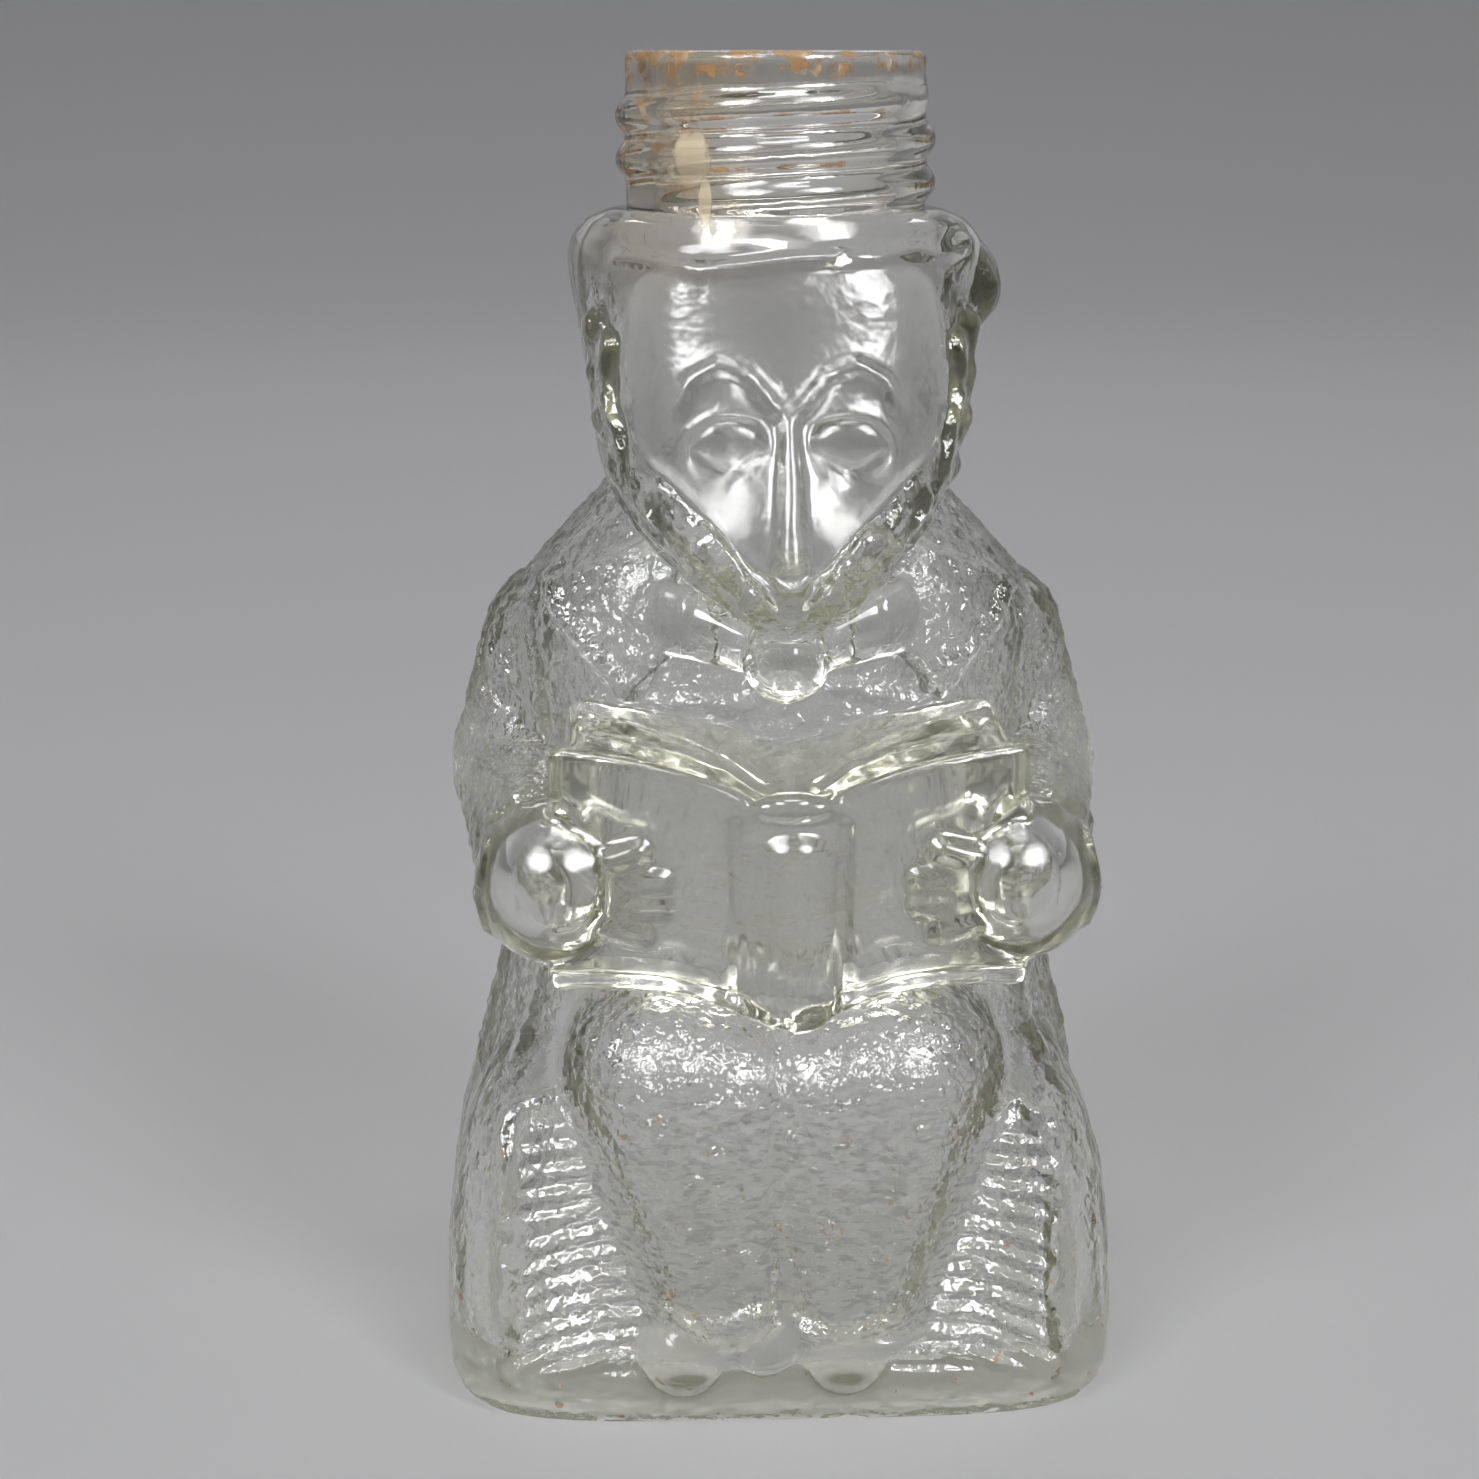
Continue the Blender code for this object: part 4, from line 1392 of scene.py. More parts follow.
@dataclass(frozen=True)
class Relief:
    """The mould's stipple, grain, locks, ribs, seam and lines, and where each of them lies.

    A line's reach is in widths. The sides are values of the normal: along Y under which the
    bark's grain shows, and along X between which the seam sets in.
    """

    grains: tuple[tuple[Zone, Grain], ...] = (
        (Zone.CLOTH, Grain(0.26 * MM, 1.40 * MM)),
        (Zone.CLOTH, Grain(0.182 * MM, 0.84 * MM, 7.0)),
        (Zone.FUR, Grain(0.26 * MM, 1.7 * MM, 11.0, (1.0, 1.0, 0.35))),
        (Zone.FACE, Grain(0.06 * MM, 1.2 * MM, 13.0, (1.0, 1.0, 0.3))),
    )
    bark: tuple[Grain, ...] = (
        Grain(0.28 * MM, 2.6 * MM, 3.0, (1.0, 1.0, 0.45)),
        Grain(0.14 * MM, 1.3 * MM, 5.0),
    )
    wander: Grain = Grain(0.10 * MM, 9.0 * MM, 17.0)
    ribs: Ribs = Ribs()
    fur_top: float = 108.0 * MM
    fur_fade: float = 2.0 * MM
    bark_side: float = 0.6
    seam: float = 0.14 * MM
    seam_width: float = 0.45 * MM
    seam_side: tuple[float, float] = (0.4, 0.7)
    line_reach: float = 2.0
    line_fall: float = 1.25
    reach: float = 1.6 * MM

    def zones(self, at: np.ndarray, trees: dict[Zone, BVHTree]) -> dict[Zone, np.ndarray]:
        """Tells which zone's forms each point lies on, as a weight for each zone.

        Args:
            at: The points.
            trees: The forms of each zone.

        Returns:
            The weights, which are all 0 away from every form.
        """
        weights = {zone: np.zeros(len(at), dtype=np.float32) for zone in Zone}
        finders = [(zone, tree.find_nearest) for zone, tree in trees.items()]
        for index, point in enumerate(at.tolist()):
            best, choice = self.reach, None
            for zone, find in finders:
                gap = find(point, best)[3]
                if gap is not None and gap < best:
                    best, choice = gap, zone
            if choice is not None:
                weights[choice][index] = 1.0
        return weights

    def lines(self, at: np.ndarray, skin: BVHTree) -> np.ndarray:
        """How far the lines raise or cut each point.

        Args:
            at: The points.
            skin: The skin that the lines are laid on.

        Returns:
            One height for each point.
        """
        tree = point_tree(at.tolist())
        total = np.zeros(len(at), dtype=np.float32)
        for line in LINES:
            width, height = line.width * MM, line.height * MM
            near = np.full(len(at), np.inf, dtype=np.float32)
            for spot in line.spots(skin):
                for _, index, gap in tree.find_range(spot, self.line_reach * width):
                    near[index] = min(near[index], gap)
            total += height * np.exp(-((near / width * self.line_fall) ** 2))
        return total

    def lift(self, at: np.ndarray, out: np.ndarray, weight: dict[Zone, np.ndarray]) -> np.ndarray:
        """How far the grains, the ribs and the mould seam raise each point.

        Args:
            at: The points.
            out: Their normals.
            weight: How much of each zone they have.

        Returns:
            One height for each point.
        """
        bark = sum(grain.at(at) for grain in self.bark) * (np.abs(out[:, 1]) < self.bark_side)
        lift = weight[Zone.BARK] * (bark + self.ribs.at(at, out)) + self.wander.at(at)
        for zone, grain in self.grains:
            lift += weight[zone] * grain.at(at)
        side = ramp(np.abs(out[:, 0]), *self.seam_side)
        return lift + side * self.seam * np.exp(-((at[:, 1] / self.seam_width) ** 2))

    def press(self, item: bpy.types.Object, trees: dict[Zone, BVHTree]) -> None:
        """Moves the skin's points by the relief and stores where each zone lies.

        Args:
            item: The melted skin.
            trees: The forms of each zone, to tell which a point belongs to.
        """
        mesh = item.data
        at, out = read_points(mesh, "co"), read_points(mesh, "normal")
        zones = self.zones(at, trees)
        weight = {zone: spread(mesh, values) for zone, values in zones.items()}
        weight[Zone.FUR] *= ramp(self.fur_top - at[:, 2], 0, self.fur_fade)
        lift = self.lift(at, out, weight) + self.lines(at, face_tree(mesh))
        mesh.vertices.foreach_set("co", (at + out * lift[:, None]).astype(np.float32).ravel())
        for zone in DRESSED:
            store(mesh, zone, weight[zone])
        mesh.update()


def store(mesh: bpy.types.Mesh, zone: Zone, values: np.ndarray) -> None:
    """Stores how much of a zone each point has, in place of what was there before.

    Args:
        mesh: The skin's mesh.
        zone: The zone, whose name in small letters names the attribute.
        values: One value for each point.
    """
    name = zone.name.lower()
    if name in mesh.attributes:
        mesh.attributes.remove(mesh.attributes[name])
    layer = mesh.attributes.new(name, "FLOAT", "POINT")
    layer.data.foreach_set("value", values.astype(np.float32))


@dataclass
class ZoneNotes:
    """Where the zones lie on a skin, noted before other solids are cut into it."""

    tree: KDTree
    values: dict[Zone, np.ndarray]

    @classmethod
    def read(cls, item: bpy.types.Object) -> "ZoneNotes":
        """Notes the zones stored on a skin.

        Args:
            item: The skin.

        Returns:
            The notes.
        """
        mesh = item.data
        values = {}
        for zone in DRESSED:
            values[zone] = np.zeros(len(mesh.vertices), dtype=np.float32)
            mesh.attributes[zone.name.lower()].data.foreach_get("value", values[zone])
        return cls(point_tree(read_points(mesh, "co").tolist()), values)

    def write(self, item: bpy.types.Object, reach: float = 0.002 * MM) -> None:
        """Stores the zones again, as 0 on every point that wasn't on the skin.

        Args:
            item: The cut skin.
            reach: How near a point has to be to count as the same.
        """
        found = [self.tree.find(point.co) for point in item.data.vertices]
        index = np.array([spot[1] for spot in found])
        same = np.array([spot[2] < reach for spot in found])
        for zone, values in self.values.items():
            store(item.data, zone, np.where(same, values[index], 0))


# Shader maths


class Socket:
    """A shader socket that takes part in Python expressions."""

    def __init__(self, desk: "Desk", socket: bpy.types.NodeSocket) -> None:
        """Keeps the socket and the node tree that it belongs to."""
        self.desk, self.socket = desk, socket

    def _maths(self, operation: str, one: object, two: object = 0.0) -> "Socket":
        """Adds one Math node."""
        inputs = {0: one, 1: two}
        return self.desk.add("ShaderNodeMath", {"operation": operation}, inputs)

    def __add__(self, other: object) -> "Socket":
        """self + other."""
        return self._maths("ADD", self, other)

    def __sub__(self, other: object) -> "Socket":
        """self - other."""
        return self._maths("SUBTRACT", self, other)

    def __mul__(self, other: object) -> "Socket":
        """self * other."""
        return self._maths("MULTIPLY", self, other)

    def __radd__(self, other: object) -> "Socket":
        """other + self."""
        return self._maths("ADD", other, self)

    def __rsub__(self, other: object) -> "Socket":
        """other - self."""
        return self._maths("SUBTRACT", other, self)

    def __pow__(self, other: object) -> "Socket":
        """self ** other."""
        return self._maths("POWER", self, other)

    def most(self, other: object) -> "Socket":
        """The larger of the two."""
        return self._maths("MAXIMUM", self, other)

    def step(self, low: float, high: float) -> "Socket":
        """0 below low, 1 above high, and smooth between them."""
        kind = {"interpolation_type": "SMOOTHSTEP"}
        return self.desk.add("ShaderNodeMapRange", kind, {"Value": self, 1: low, 2: high})


class Desk:
    """A material's node tree, with one method that adds any node."""

    def __init__(self, tree: bpy.types.NodeTree) -> None:
        """Clears the tree."""
        self.tree = tree
        tree.nodes.clear()

    def add(
        self,
        kind: str,
        settings: dict[str, object] | None = None,
        inputs: dict[str | int, object] | None = None,
        output: str | int = 0,
    ) -> Socket:
        """Adds a node and gives one of its outputs.

        Args:
            kind: The node's type.
            settings: Its own settings, which are set first.
            inputs: A value or a Socket for each named or numbered input.
            output: Which output is given back.

        Returns:
            That output, or the node's first input where it has no output.
        """
        node = self.tree.nodes.new(kind)
        for name, value in (settings or {}).items():
            setattr(node, name, value)
        for name, value in (inputs or {}).items():
            if isinstance(value, Socket):
                self.tree.links.new(value.socket, node.inputs[name])
            else:
                node.inputs[name].default_value = value
        if not node.outputs:
            return Socket(self, node.inputs[0])
        return Socket(self, node.outputs[output])

    def noise(self, place: Socket, size: float, detail: float = 2.0) -> Socket:
        """Noise from 0 to 1, with lumps of so many metres."""
        inputs = {"Vector": place, "Scale": 1 / size, "Detail": detail, "Roughness": 0.55}
        return self.add("ShaderNodeTexNoise", {}, inputs)

    def zone(self, zone: Zone) -> Socket:
        """How much of a zone a point has, as it is stored on the skin."""
        return self.add("ShaderNodeAttribute", {"attribute_name": zone.name.lower()}, output="Fac")

    def axes(self, vector: Socket) -> tuple[Socket, ...]:
        """A vector's X, Y and Z."""
        return tuple(self.add("ShaderNodeSeparateXYZ", {}, {0: vector}, axis) for axis in "XYZ")

    def bump(self, height: Socket, distance: float, strength: float = 1.0) -> Socket:
        """The normal of a surface whose height varies, in parts of a distance."""
        inputs = {"Strength": strength, "Distance": distance, "Height": height}
        return self.add("ShaderNodeBump", {}, inputs, "Normal")

    def blend(self, share: Socket, *colours: object) -> Socket:
        """The first of two colours where the share is 0, and the second where it is 1."""
        one, two = (tone if isinstance(tone, Socket) else (*tone, 1.0) for tone in colours)
        return self.add("ShaderNodeMix", {"data_type": "RGBA"}, {0: share, 6: one, 7: two}, 2)

    def mix(self, share: Socket, one: Socket, two: Socket) -> Socket:
        """The first of two shaders where the share is 0, and the second where it is 1."""
        return self.add("ShaderNodeMixShader", {}, {0: share, 1: one, 2: two})


# Finishes


@dataclass(frozen=True)
class Oval:
    """An oval as seen from the front: its middle, and its half width and height."""

    across: float
    up: float
    half_width: float
    half_height: float

    def reach(self, across: Socket, up: Socket) -> Socket:
        """How far out a place lies, as a square that is 1 on the oval's edge.

        Args:
            across: The place's X.
            up: The place's Z.

        Returns:
            The square of the share of the way to the edge.
        """
        wide = (across - self.across) * (1 / self.half_width)
        high = (up - self.up) * (1 / self.half_height)
        return wide * wide + high * high


@dataclass(frozen=True)
class ClearGlass:
    """Clear pressed glass, faintly warm where it is thick, with stipple, old stains and painted
    shade in the pits of the low cloth.

    A pair of places tells where a finish fades in, from none to full. A range gives the
    values of a noise between which a stain or a wear sets in.
    """

    tint: tuple[float, float, float] = (0.78, 0.785, 0.68)
    density: float = 54.0
    ior: float = 1.52
    shadow: float = 0.68
    roughness: float = 0.015
    worn: float = 0.06
    cloth_roughness: float = 0.07
    face_roughness: float = 0.18
    wear_size: float = 1.8 * MM
    wear_range: tuple[float, float] = (0.35, 0.62)
    polished: tuple[float, float] = (107.0 * MM, 111.0 * MM)
    stipple_size: float = 1.00 * MM
    stipple_depth: float = 0.40 * MM
    pit_size: float = 1.50 * MM
    pit_share: float = 0.6
    bark_share: float = 0.45
    fur_share: float = 0.35
    face_share: float = 0.14
    ripple_size: float = 6.0 * MM
    ripple_depth: float = 0.04 * MM
    film: tuple[float, float, float] = (1.0, 0.92, 0.79)
    film_size: float = 5.0 * MM
    film_range: tuple[float, float] = (0.35, 0.65)
    film_on_right: float = 0.2
    film_least: float = 0.3
    film_rise: tuple[float, float] = (101.0 * MM, 113.0 * MM)
    film_side: tuple[float, float] = (-11.0 * MM, 4.0 * MM)
    rust: tuple[float, float, float] = (0.37, 0.19, 0.05)
    rust_size: float = 3.4 * MM
    grit_size: float = 0.9 * MM
    grit_share: float = 0.25
    rust_radius: tuple[float, float] = (12.8 * MM, 13.4 * MM)
    rust_lip: tuple[float, float] = (121.8 * MM, 127.2 * MM)
    lip_range: tuple[float, float] = (0.66, 0.78)
    lip_lift: float = 0.22
    rust_thread: tuple[float, float] = (111.0 * MM, 116.0 * MM)
    thread_range: tuple[float, float] = (0.60, 0.74)
    thread_lift: float = 0.10
    thread_strength: float = 0.8
    rust_side: tuple[float, float] = (-9.5 * MM, -3.5 * MM)
    speck_size: float = 1.6 * MM
    speck_range: tuple[float, float] = (0.735, 0.76)
    speck_strength: float = 0.8
    speck_top: tuple[float, float] = (10.0 * MM, 60.0 * MM)
    stain_strength: float = 0.72
    stain_roughness: float = 0.7
    residue: tuple[float, float, float] = (0.86, 0.74, 0.52)
    residue_size: float = 2.2 * MM
    residue_range: tuple[float, float] = (0.58, 0.70)
    residue_share: float = 0.5
    residue_strength: float = 0.8
    residue_front: tuple[float, float] = (-6.0 * MM, -4.0 * MM)
    blob: Oval = Oval(-8.3 * MM, 117.4 * MM, 2.0 * MM, 2.9 * MM)
    drip: Oval = Oval(-7.1 * MM, 113.6 * MM, 0.7 * MM, 2.4 * MM)
    ragged_size: float = 1.3 * MM
    ragged: float = 0.9
    oval_fade: tuple[float, float] = (0.9, 1.5)
    haze: tuple[float, float, float] = (0.34, 0.33, 0.27)
    haze_size: float = 4.0 * MM
    haze_range: tuple[float, float] = (0.52, 0.62)
    haze_strength: float = 0.34
    haze_front: tuple[float, float] = (-26.0 * MM, -24.0 * MM)
    haze_spot: Oval = Oval(-1.5 * MM, 52.0 * MM, 12.5 * MM, 6.0 * MM)
    haze_fade: tuple[float, float] = (0.35, 1.0)
    flattened: tuple[float, float, float] = (1.0, 1.0, 2.6)
    # Painted shade: a dark colour laid into the pits of the cloth's stipple, low on the figure.
    pit_shade_colour: tuple[float, float, float] = (0.10, 0.10, 0.08)
    pit_shade_size: float = 1.3 * MM
    pit_shade_range: tuple[float, float] = (0.38, 0.52)
    pit_shade_strength: float = 0.24
    pit_shade_top: tuple[float, float] = (26.0 * MM, 38.0 * MM)

    def material(self, name: str) -> bpy.types.Material:
        """Makes the material.

        Args:
            name: The material's name.

        Returns:
            The material.
        """
        made = bpy.data.materials.new(name)
        made.use_nodes = True
        desk = Desk(made.node_tree)
        place = desk.add("ShaderNodeTexCoord", output="Object")
        bump = self.relief(desk, place)
        glass = desk.add(
            "ShaderNodeBsdfPrincipled",
            {},
            {
                "Base Color": self.filmed(desk, place),
                "Roughness": self.wear(desk, place),
                "IOR": self.ior,
                "Transmission Weight": 1.0,
                "Normal": bump,
            },
        )
        stain, colour = self.stains(desk, place)
        dull = {"Base Color": colour, "Roughness": self.stain_roughness, "Normal": bump}
        dirty = desk.mix(stain, glass, desk.add("ShaderNodeBsdfPrincipled", {}, dull))
        shade = (self.shadow, self.shadow, self.shadow, 1.0)
        through = desk.add("ShaderNodeBsdfTransparent", {}, {"Color": shade})
        lamp = desk.add("ShaderNodeLightPath", output="Is Shadow Ray")
        surface = desk.mix(lamp, dirty, through)
        thick = {"Color": (*self.tint, 1.0), "Density": self.density}
        body = desk.add("ShaderNodeVolumeAbsorption", {}, thick)
        desk.add("ShaderNodeOutputMaterial", {}, {"Surface": surface, "Volume": body})
        return made

    def relief(self, desk: Desk, place: Socket) -> Socket:
        """The normal with its stipple, deepest on the cloth, and a soft ripple all over.

        Args:
            desk: The material's node tree.
            place: The object coordinates.

        Returns:
            The normal.
        """
        rough = desk.zone(Zone.CLOTH).most(desk.zone(Zone.BARK) * self.bark_share)
        rough = rough.most(desk.zone(Zone.FUR) * self.fur_share)
        rough = rough.most(desk.zone(Zone.FACE) * self.face_share)
        cells = {"Vector": place, "Scale": 1 / self.pit_size}
        pits = desk.add("ShaderNodeTexVoronoi", {"feature": "F1"}, cells)
        stipple = desk.noise(place, self.stipple_size, 1.5)
        ripple = desk.noise(place, self.ripple_size, 0.0)
        height = (stipple + pits * self.pit_share) * rough * (self.stipple_depth / MM)
        height = height + ripple * (self.ripple_depth / MM)
        return desk.bump(height, 1.0 * MM)

    def wear(self, desk: Desk, place: Socket) -> Socket:
        """The roughness: least on the neck, more in specks on the cloth and on the face.

        Args:
            desk: The material's node tree.
            place: The object coordinates.

        Returns:
            The roughness.
        """
        worn = 1.0 - desk.axes(place)[2].step(*self.polished)
        specks = desk.noise(place, self.wear_size, 2.0).step(*self.wear_range)
        frost = desk.zone(Zone.CLOTH) * specks * self.cloth_roughness
        frost = frost.most(desk.zone(Zone.FACE) * self.face_roughness)
        return self.roughness + worn * frost.most(self.worn)

    def filmed(self, desk: Desk, place: Socket) -> Socket:
        """The glass's own colour, with a faint amber film on the neck and crown.

        Args:
            desk: The material's node tree.
            place: The object coordinates.

        Returns:
            The base colour.
        """
        across, _, up = desk.axes(place)
        left = 1.0 - across.step(*self.film_side)
        patches = desk.noise(place, self.film_size, 1.0).step(*self.film_range)
        film = up.step(*self.film_rise) * (left * (1 - self.film_on_right) + self.film_on_right)
        film = film * (patches * (1 - self.film_least) + self.film_least)
        return desk.blend(film, (1.0, 1.0, 1.0), self.film)

    def patch(self, desk: Desk, place: Socket) -> Socket:
        """A pale residue on the front of the neck, with a drip under it.

        Args:
            desk: The material's node tree.
            place: The object coordinates.

        Returns:
            How strong the residue is.
        """
        across, along, up = desk.axes(place)
        edge = desk.noise(place, self.ragged_size, 2.0) * self.ragged
        blob = 1.0 - (self.blob.reach(across, up) + edge).step(*self.oval_fade)
        drip = 1.0 - (self.drip.reach(across, up) + edge).step(*self.oval_fade)
        front = 1.0 - along.step(*self.residue_front)
        return blob.most(drip) * front * self.residue_strength

    def hazy(self, desk: Desk, place: Socket) -> Socket:
        """Grey streaks on the covers of the book.

        Args:
            desk: The material's node tree.
            place: The object coordinates.

        Returns:
            How strong the haze is.
        """
        across, along, up = desk.axes(place)
        streaks = desk.noise(self.flat(desk, place), self.haze_size, 4.0)
        near = 1.0 - self.haze_spot.reach(across, up).step(*self.haze_fade)
        front = 1.0 - along.step(*self.haze_front)
        return streaks.step(*self.haze_range) * near * front * self.haze_strength

    def pit_shade(self, desk: Desk, place: Socket) -> Socket:
        """Painted shade: a dark colour in the pits of the cloth, low on the figure.

        Args:
            desk: The material's node tree.
            place: The object coordinates.

        Returns:
            How strong the dirt is.
        """
        lumps = desk.noise(self.flat(desk, place), self.pit_shade_size, 1.5)
        pits = 1.0 - lumps.step(*self.pit_shade_range)
        low = 1.0 - desk.axes(place)[2].step(*self.pit_shade_top)
        return pits * desk.zone(Zone.CLOTH) * low * self.pit_shade_strength

    def flat(self, desk: Desk, place: Socket) -> Socket:
        """The place with its height drawn out, which makes a pattern on it lie flat."""
        return desk.add("ShaderNodeMapping", {}, {"Vector": place, "Scale": self.flattened})

    def stains(self, desk: Desk, place: Socket) -> tuple[Socket, Socket]:
        """Rust along the lip and in the first threads, residue, specks, haze, and painted shade in
        the pits of the low cloth.

        Args:
            desk: The material's node tree.
            place: The object coordinates.

        Returns:
            How strong the stain is, and its colour.
        """
        across, along, up = desk.axes(place)
        out = (across * across + along * along) ** 0.5
        lip = up.step(*self.rust_lip)
        thread = up.step(*self.rust_thread) * (1.0 - across.step(*self.rust_side))
        amount = desk.noise(place, self.rust_size, 2.0) * (1 - self.grit_share)
        amount = amount + desk.noise(place, self.grit_size, 1.0) * self.grit_share
        on_lip = (amount + lip * self.lip_lift).step(*self.lip_range) * lip.step(0.05, 0.5)
        on_thread = (amount + thread * self.thread_lift).step(*self.thread_range)
        on_thread = on_thread * thread * self.thread_strength
        patch = self.patch(desk, place)
        on_neck = on_lip.most(on_thread).most(patch) * out.step(*self.rust_radius)
        specks = desk.noise(place, self.speck_size, 1.0).step(*self.speck_range)
        specks = specks * (1.0 - up.step(*self.speck_top)) * self.speck_strength
        pale = desk.noise(place, self.residue_size, 1.0).step(*self.residue_range)
        pale = (pale * self.residue_share).most(patch)
        hazy, pit_shade = self.hazy(desk, place), self.pit_shade(desk, place)
        colour = desk.blend(pale, self.rust, self.residue)
        colour = desk.blend(hazy.step(0.0, 0.02), colour, self.haze)
        # Painted shade in the pits of the low cloth, laid over the stains' colour.
        colour = desk.blend(pit_shade.step(0.0, 0.02), colour, self.pit_shade_colour)
        return (on_neck.most(specks) * self.stain_strength).most(hazy).most(pit_shade), colour


@dataclass(frozen=True)
class PaleFloor:
    """A plain pale matt floor."""

    colour: tuple[float, float, float] = (0.42, 0.42, 0.43)
    roughness: float = 0.9
    grain_size: float = 1.2 * MM
    grain_depth: float = 0.1 * MM

    def material(self, name: str) -> bpy.types.Material:
        """Makes the material.

        Args:
            name: The material's name.

        Returns:
            The material.
        """
        made = bpy.data.materials.new(name)
        made.use_nodes = True
        desk = Desk(made.node_tree)
        grain = desk.noise(desk.add("ShaderNodeTexCoord", output="Object"), self.grain_size)
        bump = desk.bump(grain, self.grain_depth, 0.15)
        matt = {"Base Color": (*self.colour, 1.0), "Roughness": self.roughness, "Normal": bump}
        shader = desk.add("ShaderNodeBsdfPrincipled", {}, matt)
        desk.add("ShaderNodeOutputMaterial", {}, {"Surface": shader})
        return made


# The bottle


@dataclass
class Bottle:
    """The whole bottle, as one closed skin of glass."""

    grain: float = 0.43 * MM
    smooth_steps: int = 4
    most: int = 126000
    stump: Stump = field(default_factory=Stump)
    head: Head = field(default_factory=Head)
    face: Face = field(default_factory=Face)
    collar: Collar = field(default_factory=Collar)
    arms: Arms = field(default_factory=Arms)
    book: Book = field(default_factory=Book)
    legs: Legs = field(default_factory=Legs)
    neck: Neck = field(default_factory=Neck)
    hollow: Hollow = field(default_factory=Hollow)
    relief: Relief = field(default_factory=Relief)

    def forms(self) -> dict[Zone, list[bpy.types.Object]]:
        """Models the forms of every zone, still apart."""
        return {
            Zone.FACE: self.face.build(),
            Zone.SMOOTH: [
                *self.collar.tie(),
                *self.arms.hands(self.book),
                *self.book.build(),
                *self.legs.shoes(),
            ],
            Zone.CLOTH: [
                COAT_FORM.build(),
                *self.collar.lapels(),
                *self.arms.sleeves(),
                *self.legs.trousers(),
            ],
            Zone.BARK: self.stump.build(),
            Zone.FUR: self.head.build(),
        }

    def figure(self) -> bpy.types.Object:
        """Models the figure and the stump as one skin with its relief.

        Returns:
            The skin, before its neck and its hollow.
        """
        joined = {
            zone: join(f"{zone.name.lower()}_forms", items) for zone, items in self.forms().items()
        }
        trees = {zone: face_tree(item.data) for zone, item in joined.items()}
        skin = join("figure", list(joined.values()))
        melt(skin, self.grain, self.smooth_steps)
        self.relief.press(skin, trees)
        thin_out(skin, self.most)
        return skin

    def stand(self, skin: bpy.types.Object) -> None:
        """Cuts off what lies under the floor and closes the flat base.

        Args:
            skin: The bottle's skin.
        """
        open_whole(skin)
        bpy.ops.mesh.bisect(
            plane_co=(0, 0, 0), plane_no=(0, 0, 1), use_fill=True, clear_inner=True, threshold=1e-6
        )
        bpy.ops.object.mode_set(mode="OBJECT")

    def dress(self, skin: bpy.types.Object) -> None:
        """Names the finished skin, shades it and gives it its glass.

        Args:
            skin: The bottle's skin.
        """
        skin.name = "pressed_glass_bottle"
        skin.data.name = skin.name
        take(skin)
        bpy.ops.object.shade_smooth_by_angle(angle=math.radians(45))
        skin.data.materials.clear()
        skin.data.materials.append(ClearGlass().material("clear_pressed_glass"))

    def build(self) -> bpy.types.Object:
        """Models the bottle and dresses it in glass.

        Returns:
            The finished piece.
        """
        skin = self.figure()
        LOG.info("figure: %d triangles", triangles(skin))
        notes = ZoneNotes.read(skin)
        combine(skin, self.neck.build(), "UNION")
        LOG.info("with its neck: %d triangles", triangles(skin))
        combine(skin, self.hollow.build(self.arms, self.legs, self.neck), "DIFFERENCE")
        LOG.info("hollowed out: %d triangles", triangles(skin))
        self.stand(skin)
        notes.write(skin)
        self.dress(skin)
        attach(skin, "root")
        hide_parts("glass_bottle")
        return skin


# The studio


@dataclass(frozen=True)
class SoftBox:
    """A lamp with a rectangular face: where it hangs, its size and watts, and what it looks at."""

    name: str
    place: tuple[float, float, float]
    size: tuple[float, float]
    power: float
    aim: tuple[float, float, float] = (0.0, 0.0, 0.07)

    def hang(self) -> None:
        """Adds the lamp to the scene."""
        data = bpy.data.lights.new(self.name, "AREA")
        data.shape = "RECTANGLE"
        data.size, data.size_y = self.size
        data.energy = self.power
        item = put(self.name, data)
        way = Vector(self.aim) - Vector(self.place)
        item.location = self.place
        item.rotation_euler = way.to_track_quat("-Z", "Y").to_euler()


@dataclass(frozen=True)
class Window:
    """A bright window that shows in the glass: its direction, spread in degrees and strength."""

    way: tuple[float, float, float]
    spread: float
    strength: float

    def glow(self, across: Socket, along: Socket, up: Socket) -> Socket:
        """How bright the window looks along a direction.

        Args:
            across: The direction's X.
            along: The direction's Y.
            up: The direction's Z.

        Returns:
            The brightness, 0 outside the window.
        """
        x, y, z = Vector(self.way).normalized()
        facing = across * x + along * y + up * z
        low, high = math.cos(math.radians(self.spread)), math.cos(math.radians(self.spread / 2))
        return facing.step(low, high) * self.strength


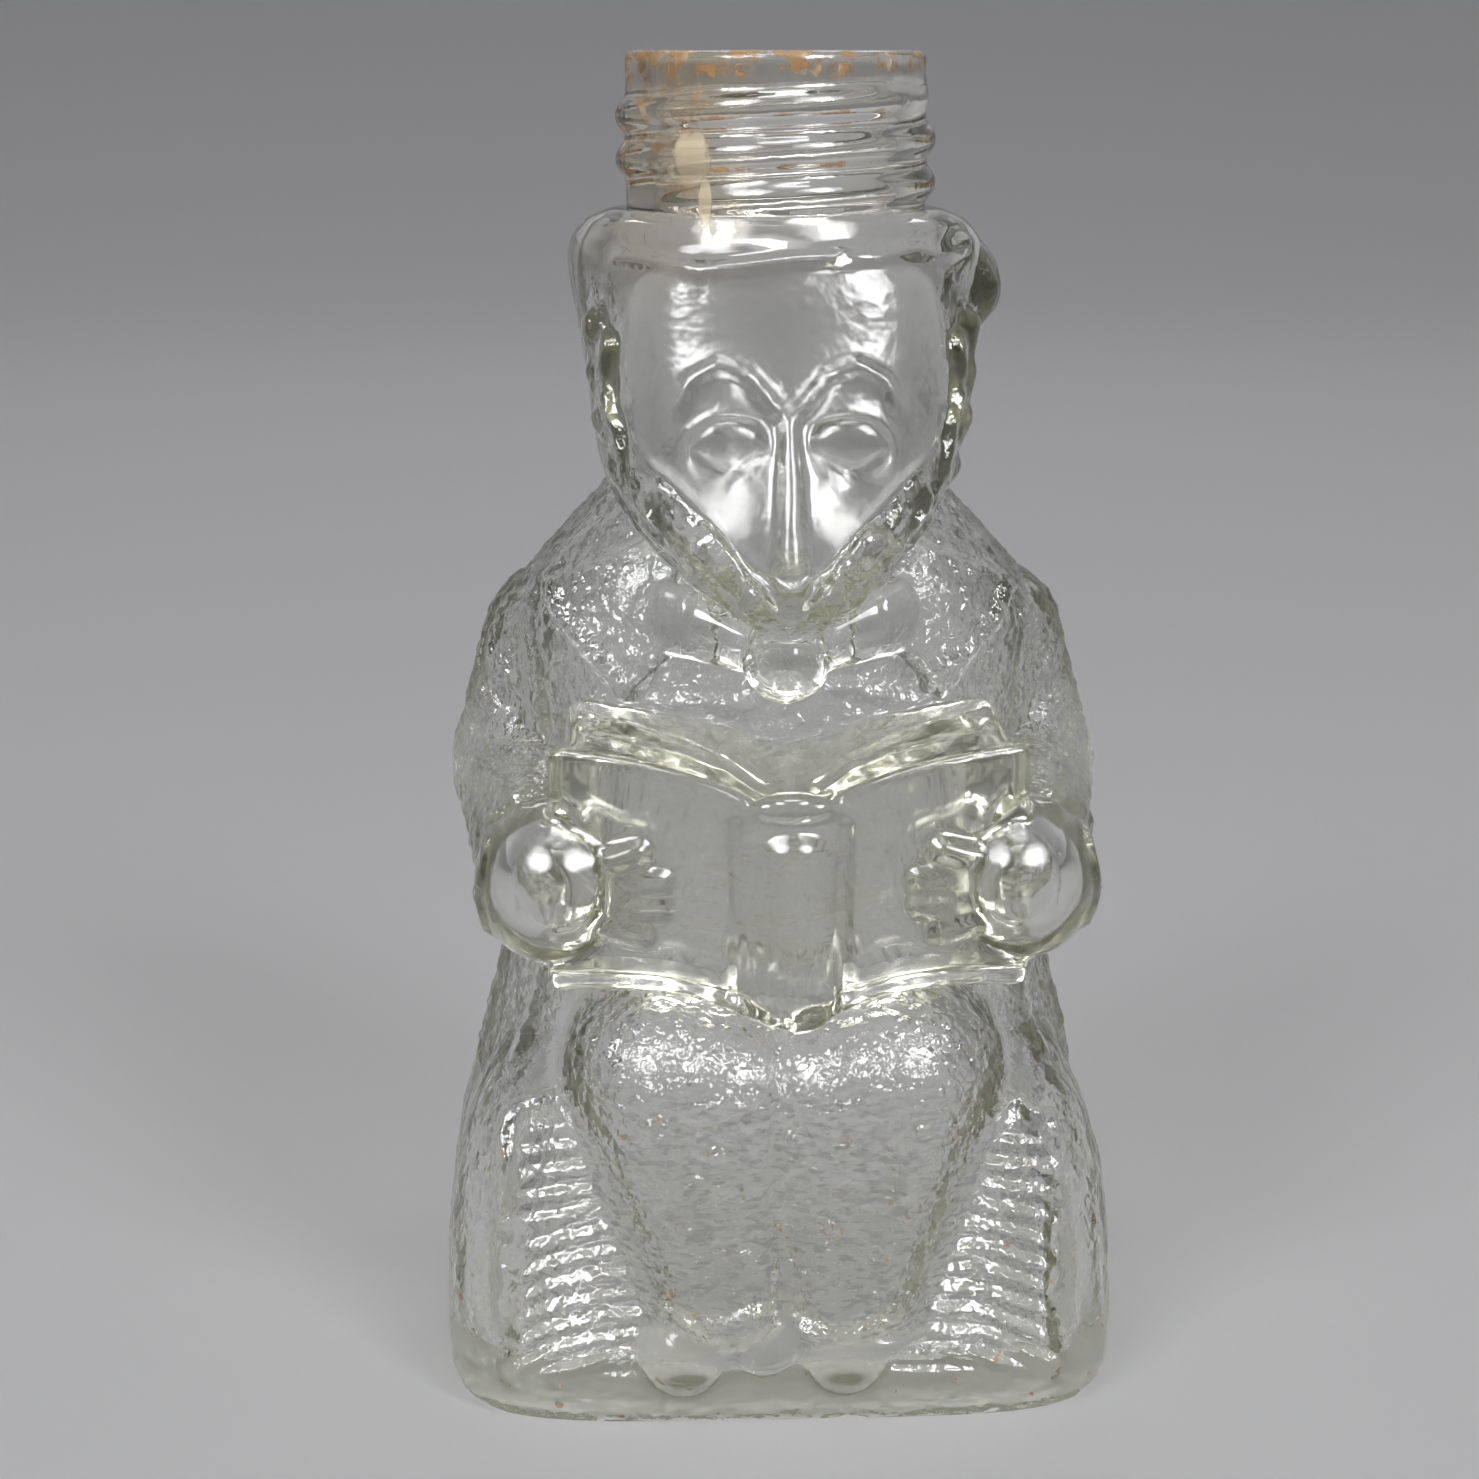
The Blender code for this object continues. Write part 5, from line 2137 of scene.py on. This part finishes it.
@dataclass(frozen=True)
class Backdrop:
    """What the glass and the camera see of the room: a grey wall, dark sides and windows."""

    light: float = 0.30
    wall: tuple[float, float, float] = (0.48, 0.485, 0.50)
    overhead: tuple[float, float, float] = (0.28, 0.28, 0.29)
    shade: tuple[float, float, float] = (0.03, 0.03, 0.035)
    sides: float = 0.45
    windows: tuple[Window, ...] = (
        Window((-0.44, -0.63, 0.63), 19.0, 44.0),
        Window((0.40, -0.67, 0.61), 18.0, 40.0),
        Window((0.0, -0.35, 0.94), 15.0, 16.0),
    )

    def build(self) -> None:
        """Fills the room with soft white light, and shows the backdrop to the glass."""
        world = bpy.data.worlds.new("studio")
        bpy.context.scene.world = world
        world.use_nodes = True
        desk = Desk(world.node_tree)
        across, along, up = desk.axes(desk.add("ShaderNodeTexCoord", output="Generated"))
        seen = desk.blend(up.step(0.05, 0.60), self.wall, self.overhead)
        seen = desk.blend((across * across).step(0.35, 0.85) * self.sides, seen, self.shade)
        seen = desk.blend((along * -1.0).step(0.80, 0.95), seen, self.shade)
        glow = 0.0
        for window in self.windows:
            glow = window.glow(across, along, up) + glow
        camera = desk.add("ShaderNodeLightPath", output="Is Camera Ray")
        gloss = desk.add("ShaderNodeLightPath", output="Is Glossy Ray")
        through = desk.add("ShaderNodeLightPath", output="Is Transmission Ray")
        white = {"Color": (1.0, 1.0, 1.0, 1.0), "Strength": self.light}
        light = desk.add("ShaderNodeBackground", {}, white)
        shown = desk.add("ShaderNodeBackground", {}, {"Color": seen, "Strength": glow + 1.0})
        surface = desk.mix(camera.most(gloss).most(through), light, shown)
        desk.add("ShaderNodeOutputWorld", {}, {"Surface": surface})


@dataclass(frozen=True)
class Floor:
    """The floor, whose far edge sweeps up a little to hide the horizon.

    It lies a hair above 0, so that the glass stands in it and shows it with no air gap.
    """

    radius: float = 1.6
    height: float = 0.05 * MM
    reach: float = 1.8
    rise: float = 0.45
    steps: int = 12
    sides: int = 96

    def build(self) -> None:
        """Models the floor."""
        deselect()
        bpy.ops.mesh.primitive_circle_add(
            vertices=self.sides, radius=self.radius, fill_type="NGON", location=(0, 0, 0)
        )
        item = bpy.context.object
        item.name = "pale_floor"
        open_whole(item)
        bpy.ops.transform.translate(value=(0, 0, self.height))
        radius = self.radius
        for step in range(self.steps):
            share = (step + 1) / self.steps
            wide = self.radius + self.reach * share
            rise = self.rise * (share**2 - (step / self.steps) ** 2)
            bpy.ops.mesh.extrude_region_move(TRANSFORM_OT_translate={"value": (0, 0, rise)})
            bpy.ops.transform.resize(value=(wide / radius, wide / radius, 1))
            radius = wide
        bpy.ops.mesh.delete(type="ONLY_FACE")
        bpy.ops.object.mode_set(mode="OBJECT")
        bpy.ops.object.shade_smooth()
        item.data.materials.append(PaleFloor().material("pale_floor"))


@dataclass(frozen=True)
class ViewPoint:
    """The photograph's point of view, with its angles in degrees."""

    height: float = 0.127
    distance: float = 0.3019
    azimuth: float = -2.5
    shift: float = -3.4 * MM
    pitch: float = 12.4
    lens: float = 76.33
    sensor: float = 36.0
    clip: tuple[float, float] = (0.01, 50.0)

    def build(self) -> None:
        """Sets the camera there."""
        turn, pitch = math.radians(self.azimuth), math.radians(self.pitch)
        right = Vector((math.cos(turn), math.sin(turn), 0))
        ahead = Vector((-math.sin(turn), math.cos(turn), 0))
        place = Vector((0, 0, self.height)) - ahead * self.distance
        look = ahead * math.cos(pitch) - Vector((0, 0, math.sin(pitch)))
        data = bpy.data.cameras.new("camera")
        data.sensor_width, data.lens = self.sensor, self.lens
        data.clip_start, data.clip_end = self.clip
        item = put("camera", data)
        item.location = place + right * self.shift
        item.rotation_euler = look.to_track_quat("-Z", "Y").to_euler()
        bpy.context.scene.camera = item


@dataclass
class Studio:
    """A plain pale floor, soft lamps and the photograph's point of view."""

    bounces: int = 16
    glossy_bounces: int = 8
    lamps: tuple[SoftBox, ...] = (
        SoftBox("left_window", (-0.46, -0.66, 0.66), (0.27, 0.30), 3.0),
        SoftBox("right_window", (0.42, -0.70, 0.64), (0.25, 0.30), 3.6),
        SoftBox("ceiling", (0.0, -0.30, 1.00), (0.40, 0.14), 2.2),
        SoftBox("back_fill", (0.05, 0.95, 0.80), (0.60, 0.24), 1.4),
        SoftBox("far_wash", (0.0, 1.6, 1.3), (1.6, 0.4), 2.8, (0.0, 2.5, 0.1)),
    )

    def build(self) -> None:
        """Sets up the studio."""
        scene = bpy.context.scene
        scene.view_settings.view_transform = "Standard"
        scene.cycles.max_bounces = self.bounces
        scene.cycles.transmission_bounces = self.bounces
        scene.cycles.glossy_bounces = self.glossy_bounces
        Floor().build()
        Backdrop().build()
        for lamp in self.lamps:
            lamp.hang()
        ViewPoint().build()


def main() -> None:
    """Builds the bottle and the studio."""
    logging.basicConfig(level=logging.INFO, stream=sys.stdout, format="%(message)s")
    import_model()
    bottle = Bottle().build()
    LOG.info("piece %s rides on root and replaces glass_bottle", bottle.name)
    Studio().build()


if __name__ == "__main__":
    main()
